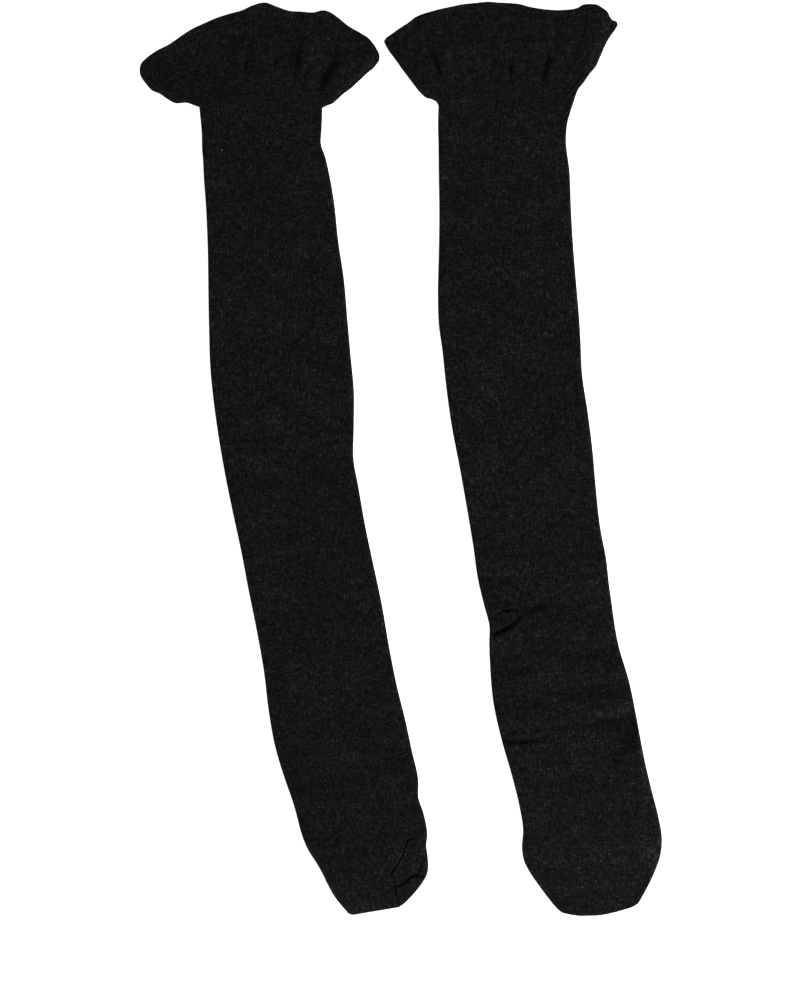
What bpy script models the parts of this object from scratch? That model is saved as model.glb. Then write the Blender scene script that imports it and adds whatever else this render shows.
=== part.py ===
"""A pair of knitted knee-high socks with gathered ruffle cuffs, laid flat side by side.

Each sock is two tubes of knit. The leg runs down over the foot to a closed toe, and the ruffle
flares from the line where it is gathered on to the top of the leg. Both tubes lie pressed flat:
a front layer on a back layer, with a rolled fold down either side and an open mouth.

The floor is z = 0 and the ruffles point to +Y. The origin is the middle of the pair, on the
floor. The tables hold millimetres and degrees, and the finished meshes are in metres.
"""

import math
from collections import namedtuple

import bmesh
import bpy
import numpy as np

MILLIMETRE = 0.001

# Driving sizes of the cloth, in millimetres: the knit's thickness, the gap at the gathered seam,
# and the least room left between the front and back layers.
WALL = 1.2
SEAM_GAP = 0.3
LAYER_GAP = 0.6

# The side folds: how far in they round over, the height of their outermost line and of their
# top, and how far past them creases and waves come to full depth.
FOLD_DEPTH = 2.4
FOLD_LINE = 2.1
FOLD_TOP = 2 * FOLD_LINE
FOLD_EASE = 4.8
LOWEST_TOP = 2 * WALL + LAYER_GAP

# How the ruffle stands: the swell past the gathers, what is left of it at the mouth, and the
# gathers themselves, which fade out along this share of the way to the mouth.
RUFFLE_SWELL = 1.2
MOUTH_LIFT = 0.6
HIGHEST_RUFFLE = 6.3
GATHERS = 12
GATHER_HEIGHT = 0.6
GATHER_REACH = 0.7
BACK_WAVES = 5
BACK_WAVE_LIFT = 0.5

# How finely the layers are divided: millimetres between rings, and columns across a layer.
CREASE_RING_STEP = 3.6
CLOSEST_RINGS = 1.8
LEG_COLUMNS = 8
RUFFLE_FRONT_COLUMNS = 44
RUFFLE_BACK_COLUMNS = 18
RUFFLE_RINGS = (0.0, 0.07, 0.15, 0.25, 0.37, 0.51, 0.66, 0.82, 1.0)
FOLD_ANGLES = np.radians((0.0, 30.0, 60.0, 90.0))
CURVE_SAMPLES = 61
DOWN_SAMPLES = 1200

# A crease is pressed in along a bent line, and the cloth beside it rises by a share of its depth.
CREASE_SHOULDER = 0.25

# One ring of a leg: its middle, the flat width of the tube, the tilt of the ring, and the height
# of the cloth at its middle.
Section = namedtuple("Section", "x y width tilt top")
# One line of the ruffle, from its share of the gathered edge over a bend to the mouth.
Ray = namedtuple("Ray", "across bend_x bend_y mouth_x mouth_y")
# One crease: its start, the place it passes half way, its end, and its half width and depth.
Crease = namedtuple("Crease", "from_x from_y over_x over_y to_x to_y half_width depth")
Sock = namedtuple("Sock", "side sections leg_creases rays ruffle_creases")

LEFT_SECTIONS = (
    Section(-92.0, 232.0, 80.0, -0.5, 4.2),
    Section(-91.5, 215.5, 78.5, 2.5, 4.2),
    Section(-89.0, 191.5, 81.5, 3.5, 4.2),
    Section(-86.0, 167.0, 84.5, 3.5, 4.1),
    Section(-84.0, 141.0, 86.0, 4.5, 4.1),
    Section(-82.0, 115.0, 89.0, 4.5, 4.2),
    Section(-80.5, 89.5, 91.5, 5.5, 4.2),
    Section(-79.0, 63.5, 92.5, 5.5, 4.2),
    Section(-77.0, 40.0, 92.0, 6.0, 4.4),
    Section(-75.0, 17.0, 89.0, 7.0, 4.4),
    Section(-73.0, -7.5, 84.5, 9.0, 4.4),
    Section(-69.5, -26.0, 84.0, 10.5, 4.2),
    Section(-64.5, -52.0, 83.0, 11.5, 4.2),
    Section(-59.0, -78.0, 83.5, 12.0, 4.5),
    Section(-54.0, -104.0, 83.5, 12.5, 4.8),
    Section(-49.0, -130.5, 84.0, 12.5, 5.0),
    Section(-45.0, -156.5, 85.5, 12.5, 5.0),
    Section(-40.0, -180.0, 87.0, 12.0, 4.8),
    Section(-35.0, -200.5, 85.5, 11.0, 4.5),
    Section(-29.5, -220.5, 83.0, 11.0, 4.4),
    Section(-25.5, -239.5, 81.0, 9.5, 4.4),
    Section(-21.5, -254.0, 77.5, 8.0, 4.5),
    Section(-17.5, -266.5, 71.0, 7.5, 4.5),
    Section(-15.0, -277.0, 65.0, 7.5, 4.4),
    Section(-15.0, -285.0, 56.5, 8.5, 4.3),
    Section(-15.5, -291.0, 46.5, 9.5, 4.2),
    Section(-16.5, -295.5, 37.5, 8.5, 4.2),
    Section(-17.0, -297.5, 30.0, 8.5, 4.2),
)

LEFT_LEG_CREASES = (
    Crease(-117.0, 13.0, -74.0, 17.0, -33.5, 22.5, 2.4, 0.9),
    Crease(11.0, -250.0, 1.5, -262.0, -6.0, -274.0, 2.6, 1.2),
    Crease(-6.0, -274.0, -4.0, -284.0, 0.5, -292.5, 2.4, 1.0),
    Crease(-5.0, -281.5, 5.0, -277.5, 14.5, -275.5, 2.4, 1.1),
)

LEFT_RAYS = (
    Ray(0.00, -160.5, 233.0, -172.5, 257.5),
    Ray(0.10, -145.0, 246.0, -163.0, 268.5),
    Ray(0.25, -124.0, 258.0, -140.0, 281.5),
    Ray(0.40, -105.5, 266.5, -117.0, 292.0),
    Ray(0.55, -89.0, 270.0, -90.0, 301.0),
    Ray(0.70, -74.0, 266.5, -71.5, 294.5),
    Ray(0.82, -60.5, 263.5, -50.0, 296.0),
    Ray(0.92, -46.0, 255.5, -33.0, 284.0),
    Ray(0.95, -42.0, 251.5, -20.0, 276.5),
    Ray(0.98, -37.0, 245.5, -14.0, 267.5),
    Ray(1.00, -34.5, 240.5, -15.5, 261.5),
)

LEFT_RUFFLE_CREASES = (
    Crease(-66.0, 238.5, -68.0, 263.0, -65.0, 290.0, 3.2, 2.0),
    Crease(-51.5, 241.0, -42.0, 259.5, -33.0, 278.0, 3.8, 2.4),
    Crease(-101.0, 249.0, -101.5, 260.5, -105.5, 274.0, 2.6, 1.6),
    Crease(-80.0, 250.0, -80.0, 262.0, -80.0, 274.0, 2.6, 1.6),
    Crease(-125.5, 239.0, -140.0, 248.0, -153.0, 255.5, 3.2, 1.5),
    Crease(-115.5, 239.5, -123.0, 251.5, -132.0, 266.5, 3.0, 1.0),
)

RIGHT_SECTIONS = (
    Section(69.0, 232.5, 88.0, -0.5, 4.2),
    Section(67.5, 221.0, 85.0, 0.5, 4.2),
    Section(67.0, 211.0, 83.5, 1.0, 4.2),
    Section(68.0, 188.5, 85.5, 1.5, 4.2),
    Section(69.0, 162.5, 86.5, 1.5, 4.1),
    Section(69.5, 136.5, 88.5, 2.0, 4.1),
    Section(70.5, 110.0, 91.0, 2.5, 4.2),
    Section(71.5, 91.0, 92.5, 3.0, 4.2),
    Section(73.0, 75.0, 91.0, 3.5, 4.2),
    Section(75.0, 53.0, 89.5, 5.0, 4.2),
    Section(78.5, 27.0, 89.5, 6.0, 4.2),
    Section(82.5, 1.5, 88.0, 7.0, 4.2),
    Section(86.0, -24.5, 85.5, 8.0, 4.3),
    Section(89.5, -50.5, 84.5, 8.5, 4.5),
    Section(93.5, -73.5, 85.0, 9.0, 4.8),
    Section(96.5, -89.5, 83.0, 9.5, 5.0),
    Section(99.0, -102.5, 81.5, 10.5, 5.2),
    Section(99.5, -113.5, 83.0, 10.0, 5.2),
    Section(101.5, -129.0, 85.5, 9.5, 5.2),
    Section(106.0, -152.5, 90.0, 8.5, 5.2),
    Section(111.5, -179.5, 90.0, 7.5, 5.0),
    Section(117.0, -203.0, 87.5, 7.5, 4.6),
    Section(122.0, -223.5, 87.5, 6.5, 4.5),
    Section(125.5, -240.5, 89.5, 5.5, 4.5),
    Section(126.5, -253.5, 92.5, 4.0, 4.5),
    Section(126.5, -263.5, 89.0, 3.0, 4.5),
    Section(127.5, -272.0, 81.5, 2.5, 4.5),
    Section(128.0, -281.0, 72.0, 1.5, 4.4),
    Section(128.5, -288.5, 62.0, 1.0, 4.3),
    Section(128.0, -294.5, 51.5, 0.5, 4.2),
    Section(125.0, -298.5, 39.0, 0.0, 4.2),
    Section(123.5, -301.0, 24.0, 0.0, 4.2),
)

RIGHT_LEG_CREASES = (
    Crease(61.5, -114.5, 69.5, -111.5, 78.5, -106.0, 2.6, 1.8),
    Crease(66.0, -100.5, 77.0, -98.5, 96.0, -93.0, 2.4, 1.0),
    Crease(66.0, -141.0, 104.0, -136.0, 144.0, -126.5, 5.0, 0.8),
    Crease(72.0, -186.0, 81.0, -186.5, 96.0, -184.0, 2.4, 1.4),
)

RIGHT_RAYS = (
    Ray(0.00, 10.5, 242.0, -10.5, 276.0),
    Ray(0.10, 25.0, 253.5, 6.5, 288.5),
    Ray(0.25, 41.5, 262.0, 28.0, 297.0),
    Ray(0.40, 57.5, 266.5, 49.5, 300.0),
    Ray(0.55, 73.5, 268.0, 71.5, 300.5),
    Ray(0.70, 89.0, 266.0, 92.5, 296.5),
    Ray(0.82, 103.0, 263.5, 109.0, 295.5),
    Ray(0.92, 115.0, 258.0, 125.5, 300.0),
    Ray(0.96, 118.0, 253.0, 136.0, 295.5),
    Ray(1.00, 121.0, 248.5, 142.5, 286.5),
)

RIGHT_RUFFLE_CREASES = (
    Crease(30.5, 242.0, 25.0, 256.5, 16.0, 275.0, 2.8, 2.0),
    Crease(51.5, 242.0, 49.0, 254.0, 43.5, 268.5, 3.0, 1.0),
    Crease(73.5, 246.0, 73.5, 258.0, 71.5, 270.0, 2.6, 1.6),
    Crease(92.5, 242.0, 97.0, 262.0, 103.0, 289.5, 3.2, 2.2),
    Crease(116.0, 241.5, 125.5, 260.5, 134.5, 280.5, 2.4, 1.8),
)

SOCKS = (
    Sock("left", LEFT_SECTIONS, LEFT_LEG_CREASES, LEFT_RAYS, LEFT_RUFFLE_CREASES),
    Sock("right", RIGHT_SECTIONS, RIGHT_LEG_CREASES, RIGHT_RAYS, RIGHT_RUFFLE_CREASES),
)

CHARCOAL_MARL = (0.0085, 0.0085, 0.0088, 1.0)
RUFFLE_MARL = (0.0070, 0.0070, 0.0073, 1.0)
KNIT_ROUGHNESS = 0.95


def clear_scene():
    """Remove every object, so that the script starts from nothing."""
    for item in list(bpy.data.objects):
        bpy.data.objects.remove(item, do_unlink=True)


def column(rows, name):
    """One named column of a table as an array."""
    return np.array([getattr(row, name) for row in rows], dtype=float)


def smooth(knots, values, at):
    """Read a smooth curve through the table's points at the given places."""
    slopes = np.gradient(values, knots)
    index = np.clip(np.searchsorted(knots, at, side="right") - 1, 0, len(knots) - 2)
    span = knots[index + 1] - knots[index]
    t = (at - knots[index]) / span
    rest = 1.0 - t
    start = (1.0 + 2.0 * t) * rest**2 * values[index] + t * rest**2 * span * slopes[index]
    end = t**2 * (3.0 - 2.0 * t) * values[index + 1] - t**2 * rest * span * slopes[index + 1]
    return start + end


def distance_down(sections):
    """How far down the sock each section lies, along the middle of the leg."""
    steps = np.hypot(np.diff(column(sections, "x")), np.diff(column(sections, "y")))
    return np.concatenate(([0.0], np.cumsum(steps)))


def leg_place(sock, across, down):
    """Where a point of the leg lies on the floor, from its share across and its distance down."""
    knots = distance_down(sock.sections)
    x, y, width, tilt = (smooth(knots, column(sock.sections, name), down)
                         for name in ("x", "y", "width", "tilt"))
    sideways = (across - 0.5) * width
    angle = np.radians(tilt)
    return x + sideways * np.cos(angle), y + sideways * np.sin(angle)


def ruffle_place(sock, across, along):
    """Where a point of the ruffle lies, from its share of the gathers and its share to the mouth."""
    gather_x, gather_y = leg_place(sock, across, np.zeros_like(across))
    knots = column(sock.rays, "across")
    bend_x, bend_y, mouth_x, mouth_y = (smooth(knots, column(sock.rays, name), across)
                                        for name in ("bend_x", "bend_y", "mouth_x", "mouth_y"))
    near = (1.0 - along)**2
    between = 2.0 * along * (1.0 - along)
    far = along**2
    return (near * gather_x + between * bend_x + far * mouth_x,
            near * gather_y + between * bend_y + far * mouth_y)


def ring_columns(place, sock, ring, columns):
    """Shares across one ring, even along the cloth and closer together in its two side folds.

    The second result is how far each of them lies from the nearer side, in millimetres.
    """
    samples = np.linspace(0.0, 1.0, CURVE_SAMPLES)
    x, y = place(sock, samples, np.full_like(samples, ring))
    length = np.concatenate(([0.0], np.cumsum(np.hypot(np.diff(x), np.diff(y)))))
    fold = FOLD_DEPTH * (1.0 - np.cos(FOLD_ANGLES))
    middle = np.linspace(FOLD_DEPTH, length[-1] - FOLD_DEPTH, columns + 1)[1:-1]
    distance = np.concatenate((fold, middle, length[-1] - fold[::-1]))
    return np.interp(distance, length, samples), np.minimum(distance, length[-1] - distance)


def roundness(distance):
    """How full the cloth stands near a folded edge: nothing on the edge, all past the fold."""
    inward = np.clip(distance / FOLD_DEPTH, 0.0, 1.0)
    return np.sqrt(1.0 - (1.0 - inward)**2)


def ease(value):
    """Rise gently from 0 to 1 and stay there."""
    t = np.clip(value, 0.0, 1.0)
    return t * t * (3.0 - 2.0 * t)


def past_fold(distance):
    """Nothing in the side fold, and all of it where the layers lie flat."""
    return ease((distance - FOLD_DEPTH) / FOLD_EASE)


def crease_line(crease):
    """Points along a crease's bent line, and each one's share of the way."""
    share = np.linspace(0.0, 1.0, CURVE_SAMPLES)
    near = (1.0 - share) * (1.0 - 2.0 * share)
    half = 4.0 * share * (1.0 - share)
    far = share * (2.0 * share - 1.0)
    x = near * crease.from_x + half * crease.over_x + far * crease.to_x
    y = near * crease.from_y + half * crease.over_y + far * crease.to_y
    return x, y, share


def crease_depth(creases, x, y):
    """How far the creases press the front layer down at each place."""
    depth = np.zeros_like(x)
    for crease in creases:
        line_x, line_y, share = crease_line(crease)
        gap = np.hypot(x[..., None] - line_x, y[..., None] - line_y)
        nearest = gap.argmin(axis=-1)
        widths = gap.min(axis=-1) / crease.half_width
        strength = np.sqrt(4.0 * share * (1.0 - share))[nearest]
        trough = np.exp(-widths**2)
        shoulder = CREASE_SHOULDER * np.exp(-(widths - 2.0)**2)
        depth += crease.depth * strength * (trough - shoulder)
    return depth


def down_at(sock, x, y):
    """How far down the sock the ring lies that passes through a place."""
    down = np.linspace(0.0, distance_down(sock.sections)[-1], DOWN_SAMPLES)
    left_x, left_y = leg_place(sock, np.zeros_like(down), down)
    right_x, right_y = leg_place(sock, np.ones_like(down), down)
    above = (right_x - left_x) * (y - left_y) - (right_y - left_y) * (x - left_x)
    return down[np.abs(above).argmin()]


def leg_rings(sock):
    """Distances down the leg of all its rings: one at each section, and more across each crease."""
    knots = distance_down(sock.sections)
    length = knots[-1]
    toe = length - FOLD_DEPTH
    wanted = list(knots[1:])
    for crease in sock.leg_creases:
        ends = [down_at(sock, crease.from_x, crease.from_y), down_at(sock, crease.to_x, crease.to_y)]
        first = min(ends) - 2.0 * crease.half_width
        last = max(ends) + 2.0 * crease.half_width
        wanted += list(np.arange(first, last, max(CREASE_RING_STEP, crease.half_width)))
    rings = [SEAM_GAP]
    for ring in sorted(wanted):
        if ring - rings[-1] > CLOSEST_RINGS and toe - ring > CLOSEST_RINGS:
            rings.append(ring)
    return np.array(rings + [length - FOLD_DEPTH * (1.0 - math.cos(a)) for a in FOLD_ANGLES[::-1]])


def leg_layers(sock):
    """Front and back points of the leg, ring by ring from the gathers to the toe."""
    rings = leg_rings(sock)
    shares, sides = zip(*(ring_columns(leg_place, sock, ring, LEG_COLUMNS) for ring in rings))
    across = np.array(shares)
    side = np.array(sides)
    down = np.repeat(rings[:, None], across.shape[1], axis=1)
    x, y = leg_place(sock, across, down)
    knots = distance_down(sock.sections)
    middle_top = smooth(knots, column(sock.sections, "top"), down)
    crown = (middle_top - FOLD_TOP) * 4.0 * across * (1.0 - across)
    pressed = crease_depth(sock.leg_creases, x, y) * past_fold(side)
    top = np.maximum(FOLD_TOP + crown - pressed, LOWEST_TOP)
    full = roundness(side) * roundness(knots[-1] - down)
    front = np.stack((x, y, FOLD_LINE + (top - FOLD_LINE) * full), axis=-1)
    back = np.stack((x, y, FOLD_LINE - FOLD_LINE * full), axis=-1)
    return front, back


def ruffle_layer(sock, columns):
    """Places, shares and side distances of one layer of the ruffle, from the mouth to the gathers."""
    rings = np.array(RUFFLE_RINGS[::-1])
    shares, sides = zip(*(ring_columns(ruffle_place, sock, ring, columns) for ring in rings))
    across = np.array(shares)
    along = np.repeat(rings[:, None], across.shape[1], axis=1)
    x, y = ruffle_place(sock, across, along)
    return x, y, across, along, np.array(sides)


def wave(count, across):
    """A row of even waves across a layer, between 0 and 1."""
    return 0.5 * (1.0 - np.cos(2.0 * math.pi * count * across))


def back_wave(across, along):
    """How far the back of the ruffle ripples up off the floor."""
    return BACK_WAVE_LIFT * along * wave(BACK_WAVES, across)


def ruffle_layers(sock):
    """Front and back points of the ruffle."""
    x, y, across, along, side = ruffle_layer(sock, RUFFLE_FRONT_COLUMNS)
    swell = RUFFLE_SWELL * np.sin(math.pi * along) + MOUTH_LIFT * ease(along)
    fade = np.sin(math.pi * np.clip(along / GATHER_REACH, 0.0, 1.0))
    gathers = GATHER_HEIGHT * wave(GATHERS, across) * fade
    pressed = crease_depth(sock.ruffle_creases, x, y)
    top = FOLD_TOP + (swell + gathers - pressed) * past_fold(side)
    top = np.clip(top, LOWEST_TOP + back_wave(across, along), HIGHEST_RUFFLE)
    front = np.stack((x, y, FOLD_LINE + (top - FOLD_LINE) * roundness(side)), axis=-1)

    x, y, across, along, side = ruffle_layer(sock, RUFFLE_BACK_COLUMNS)
    lift = back_wave(across, along) * past_fold(side)
    back = np.stack((x, y, FOLD_LINE + (lift - FOLD_LINE) * roundness(side)), axis=-1)
    return front, back


def add_layer(mesh, points, known):
    """Add one layer's points, but for those that it shares with the layer already there."""
    rows, columns = points.shape[:2]
    grid = {}
    for row in range(rows):
        for col in range(columns):
            if (row, col) in known:
                grid[row, col] = known[row, col]
            else:
                grid[row, col] = mesh.verts.new(points[row, col] * MILLIMETRE)
    return grid


def add_faces(mesh, grid, size, facing_up):
    """Join a grid of points into faces that look up from the front or down from the back."""
    rows, columns = size
    for row in range(rows - 1):
        for col in range(columns - 1):
            corners = [grid[row, col], grid[row + 1, col], grid[row + 1, col + 1], grid[row, col + 1]]
            ring = list(dict.fromkeys(corners))
            mesh.faces.new(ring if facing_up else ring[::-1])


def tube_mesh(name, front, back, closed_end):
    """Loft a flat tube from its two layers, which share their sides and a closed far end."""
    mesh = bmesh.new()
    front_grid = add_layer(mesh, front, {})
    rows, columns = back.shape[:2]
    front_last = front.shape[1] - 1
    shared = {(row, 0): front_grid[row, 0] for row in range(rows)}
    shared.update({(row, columns - 1): front_grid[row, front_last] for row in range(rows)})
    if closed_end:
        shared.update({(rows - 1, col): front_grid[rows - 1, col] for col in range(columns)})
    back_grid = add_layer(mesh, back, shared)
    add_faces(mesh, front_grid, front.shape[:2], True)
    add_faces(mesh, back_grid, back.shape[:2], False)
    data = bpy.data.meshes.new(name)
    mesh.to_mesh(data)
    mesh.free()
    data.shade_smooth()
    return data


def knit_material(name, colour):
    """A matt knitted finish."""
    material = bpy.data.materials.new(name)
    material.use_nodes = True
    shader = material.node_tree.nodes["Principled BSDF"]
    shader.inputs["Base Color"].default_value = colour
    shader.inputs["Roughness"].default_value = KNIT_ROUGHNESS
    shader.inputs["Metallic"].default_value = 0.0
    material.diffuse_color = colour
    return material


def add_tube(name, layers, closed_end, material, parent, collection):
    """One piece of knit: its flat tube, thickened inwards to the wall of the cloth."""
    front, back = layers
    piece = bpy.data.objects.new(name, tube_mesh(name, front, back, closed_end))
    piece.data.materials.append(material)
    piece.parent = parent
    collection.objects.link(piece)
    wall = piece.modifiers.new("wall", "SOLIDIFY")
    wall.thickness = WALL * MILLIMETRE
    wall.offset = -1.0
    wall.use_even_offset = True
    wall.use_rim = True
    return piece


def build():
    """Build both socks where they lie."""
    clear_scene()
    collection = bpy.data.collections.new("knee_high_socks")
    bpy.context.scene.collection.children.link(collection)
    pair = bpy.data.objects.new("pair", None)
    collection.objects.link(pair)
    for sock in SOCKS:
        leg_knit = knit_material(f"{sock.side}_leg_knit", CHARCOAL_MARL)
        ruffle_knit = knit_material(f"{sock.side}_ruffle_knit", RUFFLE_MARL)
        add_tube(f"{sock.side}_leg", leg_layers(sock), True, leg_knit, pair, collection)
        add_tube(f"{sock.side}_ruffle", ruffle_layers(sock), False, ruffle_knit, pair, collection)


build()
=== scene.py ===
# %% [markdown]
# # A pair of knitted knee-high socks
#
# Two dark charcoal socks lie flat beside each other, seen from straight above. Each is one long
# knitted tube: a closed toe, a foot, a leg, and above the knee a ruffle about twice as wide as the
# leg. The packed model gives the frame, with plain solids for the knit. This lesson dresses them
# with fine shells, a knitted finish worked out from the stitches, and loose fibres.

# %% Load the frame
import math
from collections import namedtuple

import bmesh
import bpy
import numpy as np
from mathutils.bvhtree import BVHTree
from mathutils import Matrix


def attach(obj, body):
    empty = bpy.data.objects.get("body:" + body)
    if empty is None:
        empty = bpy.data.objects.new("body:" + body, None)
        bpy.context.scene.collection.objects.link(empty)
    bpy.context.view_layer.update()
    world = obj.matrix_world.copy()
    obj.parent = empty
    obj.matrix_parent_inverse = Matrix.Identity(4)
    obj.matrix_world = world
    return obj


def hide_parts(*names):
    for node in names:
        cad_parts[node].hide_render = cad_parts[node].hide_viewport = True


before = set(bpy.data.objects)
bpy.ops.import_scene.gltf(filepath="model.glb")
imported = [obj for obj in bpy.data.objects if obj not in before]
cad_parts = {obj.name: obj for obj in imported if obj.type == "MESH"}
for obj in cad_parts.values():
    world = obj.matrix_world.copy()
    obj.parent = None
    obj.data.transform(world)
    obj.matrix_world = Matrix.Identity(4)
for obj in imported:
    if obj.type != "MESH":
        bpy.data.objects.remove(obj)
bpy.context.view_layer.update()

MILLIMETRE = 0.001
print("frame nodes:", sorted(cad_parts))

# %% [markdown]
# ## The camera
#
# The camera looks straight down, as on a copy stand. A long lens from far away keeps the flat
# cloth free of perspective. One pixel of the picture is 0.66 mm on the floor, and the middle of
# the picture lies a little nearer the toes than the middle of the pair.

# %% Camera
PIXEL = 0.66
PICTURE_ROWS = 1000
PICTURE_HEIGHT = PICTURE_ROWS * PIXEL * MILLIMETRE
PICTURE_MIDDLE = (-0.36 * MILLIMETRE, -26.8 * MILLIMETRE)
LENS = 100.0
SENSOR = 36.0


def add_object(name, data):
    """Put a new object into the scene, for a mesh, a camera or a lamp."""
    made = bpy.data.objects.new(name, data)
    bpy.context.scene.collection.objects.link(made)
    return made


camera_data = bpy.data.cameras.new("camera")
camera_data.lens = LENS
camera_data.sensor_width = SENSOR
camera = add_object("camera", camera_data)
camera.location = (*PICTURE_MIDDLE, PICTURE_HEIGHT * LENS / SENSOR)
bpy.context.scene.camera = camera
print(f"camera {camera.location.z:.3f} m above the floor")

# %% [markdown]
# ## The cut of the two socks
#
# A flat tube needs few numbers. A leg is a row of sections, each with its middle, its flat width,
# the tilt of its ring in degrees and its height. A ruffle is the patch between four lines: the
# top of the leg, the two side folds and the mouth. All lengths are in millimetres, from the middle
# of the pair on the floor, with x to the right and y towards the ruffles. A named tuple lets the
# code ask for a number of a row by its name.

# %% Leg and foot of the left sock
Section = namedtuple("Section", "x y width tilt top")
Point = namedtuple("Point", "x y")


def table(kind, *rows):
    """A table of rows of one kind, from plain numbers."""
    return tuple(kind(*row) for row in rows)


LEFT_SECTIONS = table(
    Section,
    (-92.1, 232.0, 81.2, -0.5, 4.2),
    (-91.5, 215.5, 79.1, 2.5, 4.2),
    (-91.6, 205.3, 78.6, 2.0, 4.2),
    (-90.3, 200.0, 80.2, 2.0, 4.2),
    (-89.1, 191.5, 81.8, 3.5, 4.2),
    (-86.0, 167.0, 84.6, 3.5, 4.1),
    (-84.1, 141.0, 86.3, 4.5, 4.1),
    (-82.0, 115.0, 89.8, 4.5, 4.2),
    (-80.7, 89.5, 91.6, 5.5, 4.2),
    (-79.1, 63.5, 93.0, 5.5, 4.2),
    (-76.8, 40.0, 92.7, 6.0, 4.4),
    (-75.1, 17.0, 89.4, 7.0, 4.4),
    (-72.9, -7.5, 85.1, 9.0, 4.4),
    (-69.3, -26.0, 84.6, 10.5, 4.2),
    (-64.2, -52.0, 83.6, 11.5, 4.2),
    (-59.0, -78.0, 84.1, 12.0, 4.5),
    (-53.6, -104.0, 84.4, 12.5, 4.8),
    (-49.0, -130.5, 84.3, 12.5, 5.0),
    (-44.9, -156.5, 86.2, 12.5, 5.0),
    (-39.9, -180.0, 87.7, 12.0, 4.8),
    (-34.7, -200.5, 86.2, 11.0, 4.6),
    (-29.2, -220.5, 83.6, 11.0, 4.7),
    (-28.0, -230.3, 80.9, 10.4, 4.9),
    (-25.2, -239.5, 81.7, 9.5, 5.0),
    (-21.1, -254.0, 78.3, 8.0, 5.4),
    (-19.6, -259.5, 74.1, 8.4, 5.5),
    (-17.3, -266.5, 71.1, 7.5, 5.6),
    (-14.9, -277.0, 65.8, 7.5, 5.4),
    (-14.6, -284.1, 58.2, 8.8, 5.0),
    (-15.2, -289.9, 49.0, 8.8, 4.7),
    (-15.8, -294.0, 41.5, 9.0, 4.5),
    (-16.6, -296.7, 35.8, 9.0, 4.4),
    (-17.2, -297.8, 31.1, 9.0, 4.3),
    (-17.6, -298.1, 27.2, 9.8, 4.3),
)
print(len(LEFT_SECTIONS), "sections from", LEFT_SECTIONS[0], "to", LEFT_SECTIONS[-1])

# %% Ruffle of the left sock
LEFT_SIDE_FOLD = table(
    Point,
    (-135.2, 233.0), (-141.0, 235.0), (-148.6, 234.7), (-153.9, 237.5), (-158.9, 241.0),
    (-164.3, 243.3), (-167.3, 246.9), (-170.1, 250.5), (-171.8, 253.9),
)
LEFT_MOUTH = table(
    Point,
    (-172.0, 256.9), (-170.9, 260.6), (-168.2, 263.5), (-160.6, 269.0), (-152.5, 273.2),
    (-144.8, 278.6), (-136.9, 283.6), (-129.0, 287.3), (-121.1, 290.7), (-113.2, 293.3),
    (-105.0, 295.5), (-97.3, 299.0), (-89.3, 300.8), (-81.5, 298.1), (-73.6, 295.4), (-65.7, 294.9),
    (-57.7, 294.3), (-50.3, 295.7), (-45.9, 294.2), (-41.9, 291.5), (-34.0, 285.2), (-26.1, 280.6),
    (-21.2, 277.4), (-17.7, 273.5), (-15.3, 269.5), (-13.8, 265.7), (-14.1, 262.7),
)
LEFT_OTHER_SIDE_FOLD = table(
    Point,
    (-48.5, 233.1), (-44.9, 234.5), (-41.9, 236.9), (-37.9, 240.7), (-32.5, 244.7), (-27.4, 249.4),
    (-22.0, 254.5), (-17.3, 258.4),
)
print(len(LEFT_MOUTH), "points along the left mouth")

# %% Leg and foot of the right sock
RIGHT_SECTIONS = table(
    Section,
    (69.0, 232.5, 88.0, -0.5, 4.2),
    (67.3, 221.0, 85.3, 0.5, 4.2),
    (67.0, 211.0, 84.2, 1.0, 4.2),
    (68.3, 188.5, 86.3, 1.5, 4.2),
    (69.0, 162.5, 87.0, 1.5, 4.1),
    (69.6, 136.5, 88.9, 2.0, 4.1),
    (70.4, 110.0, 91.7, 2.5, 4.2),
    (71.5, 91.0, 92.7, 3.0, 4.2),
    (73.1, 75.0, 91.4, 3.5, 4.2),
    (74.8, 53.0, 90.1, 5.0, 4.2),
    (78.5, 27.0, 90.2, 6.0, 4.2),
    (82.6, 1.5, 88.5, 7.0, 4.2),
    (86.1, -24.5, 86.2, 8.0, 4.3),
    (89.7, -50.5, 84.7, 8.5, 4.7),
    (93.5, -73.5, 85.6, 9.0, 5.2),
    (96.3, -89.5, 83.5, 9.5, 5.6),
    (98.9, -102.5, 82.1, 10.5, 5.8),
    (99.6, -113.5, 83.6, 10.0, 5.8),
    (101.3, -129.0, 85.8, 9.5, 5.6),
    (105.8, -152.5, 90.6, 8.5, 5.4),
    (111.5, -179.5, 90.3, 7.5, 5.4),
    (117.1, -203.0, 88.1, 7.5, 5.0),
    (122.0, -223.5, 88.0, 6.5, 4.6),
    (125.5, -240.5, 89.8, 5.5, 4.5),
    (126.2, -253.5, 92.6, 4.0, 4.5),
    (126.6, -263.5, 89.7, 3.0, 4.5),
    (127.1, -272.2, 82.1, 2.0, 4.5),
    (127.7, -281.0, 72.1, 1.0, 4.4),
    (128.2, -288.8, 62.1, 0.4, 4.4),
    (128.5, -293.3, 55.7, 0.3, 4.4),
    (127.7, -295.4, 50.3, 0.4, 4.3),
    (126.5, -296.7, 45.2, 0.8, 4.3),
    (125.2, -298.0, 39.2, 1.0, 4.3),
    (124.2, -299.2, 31.5, 1.0, 4.2),
    (123.8, -300.3, 20.9, 0.7, 4.2),
    (123.6, -301.0, 11.9, 1.2, 4.2),
)
print(len(RIGHT_SECTIONS), "sections from", RIGHT_SECTIONS[0], "to", RIGHT_SECTIONS[-1])

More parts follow.
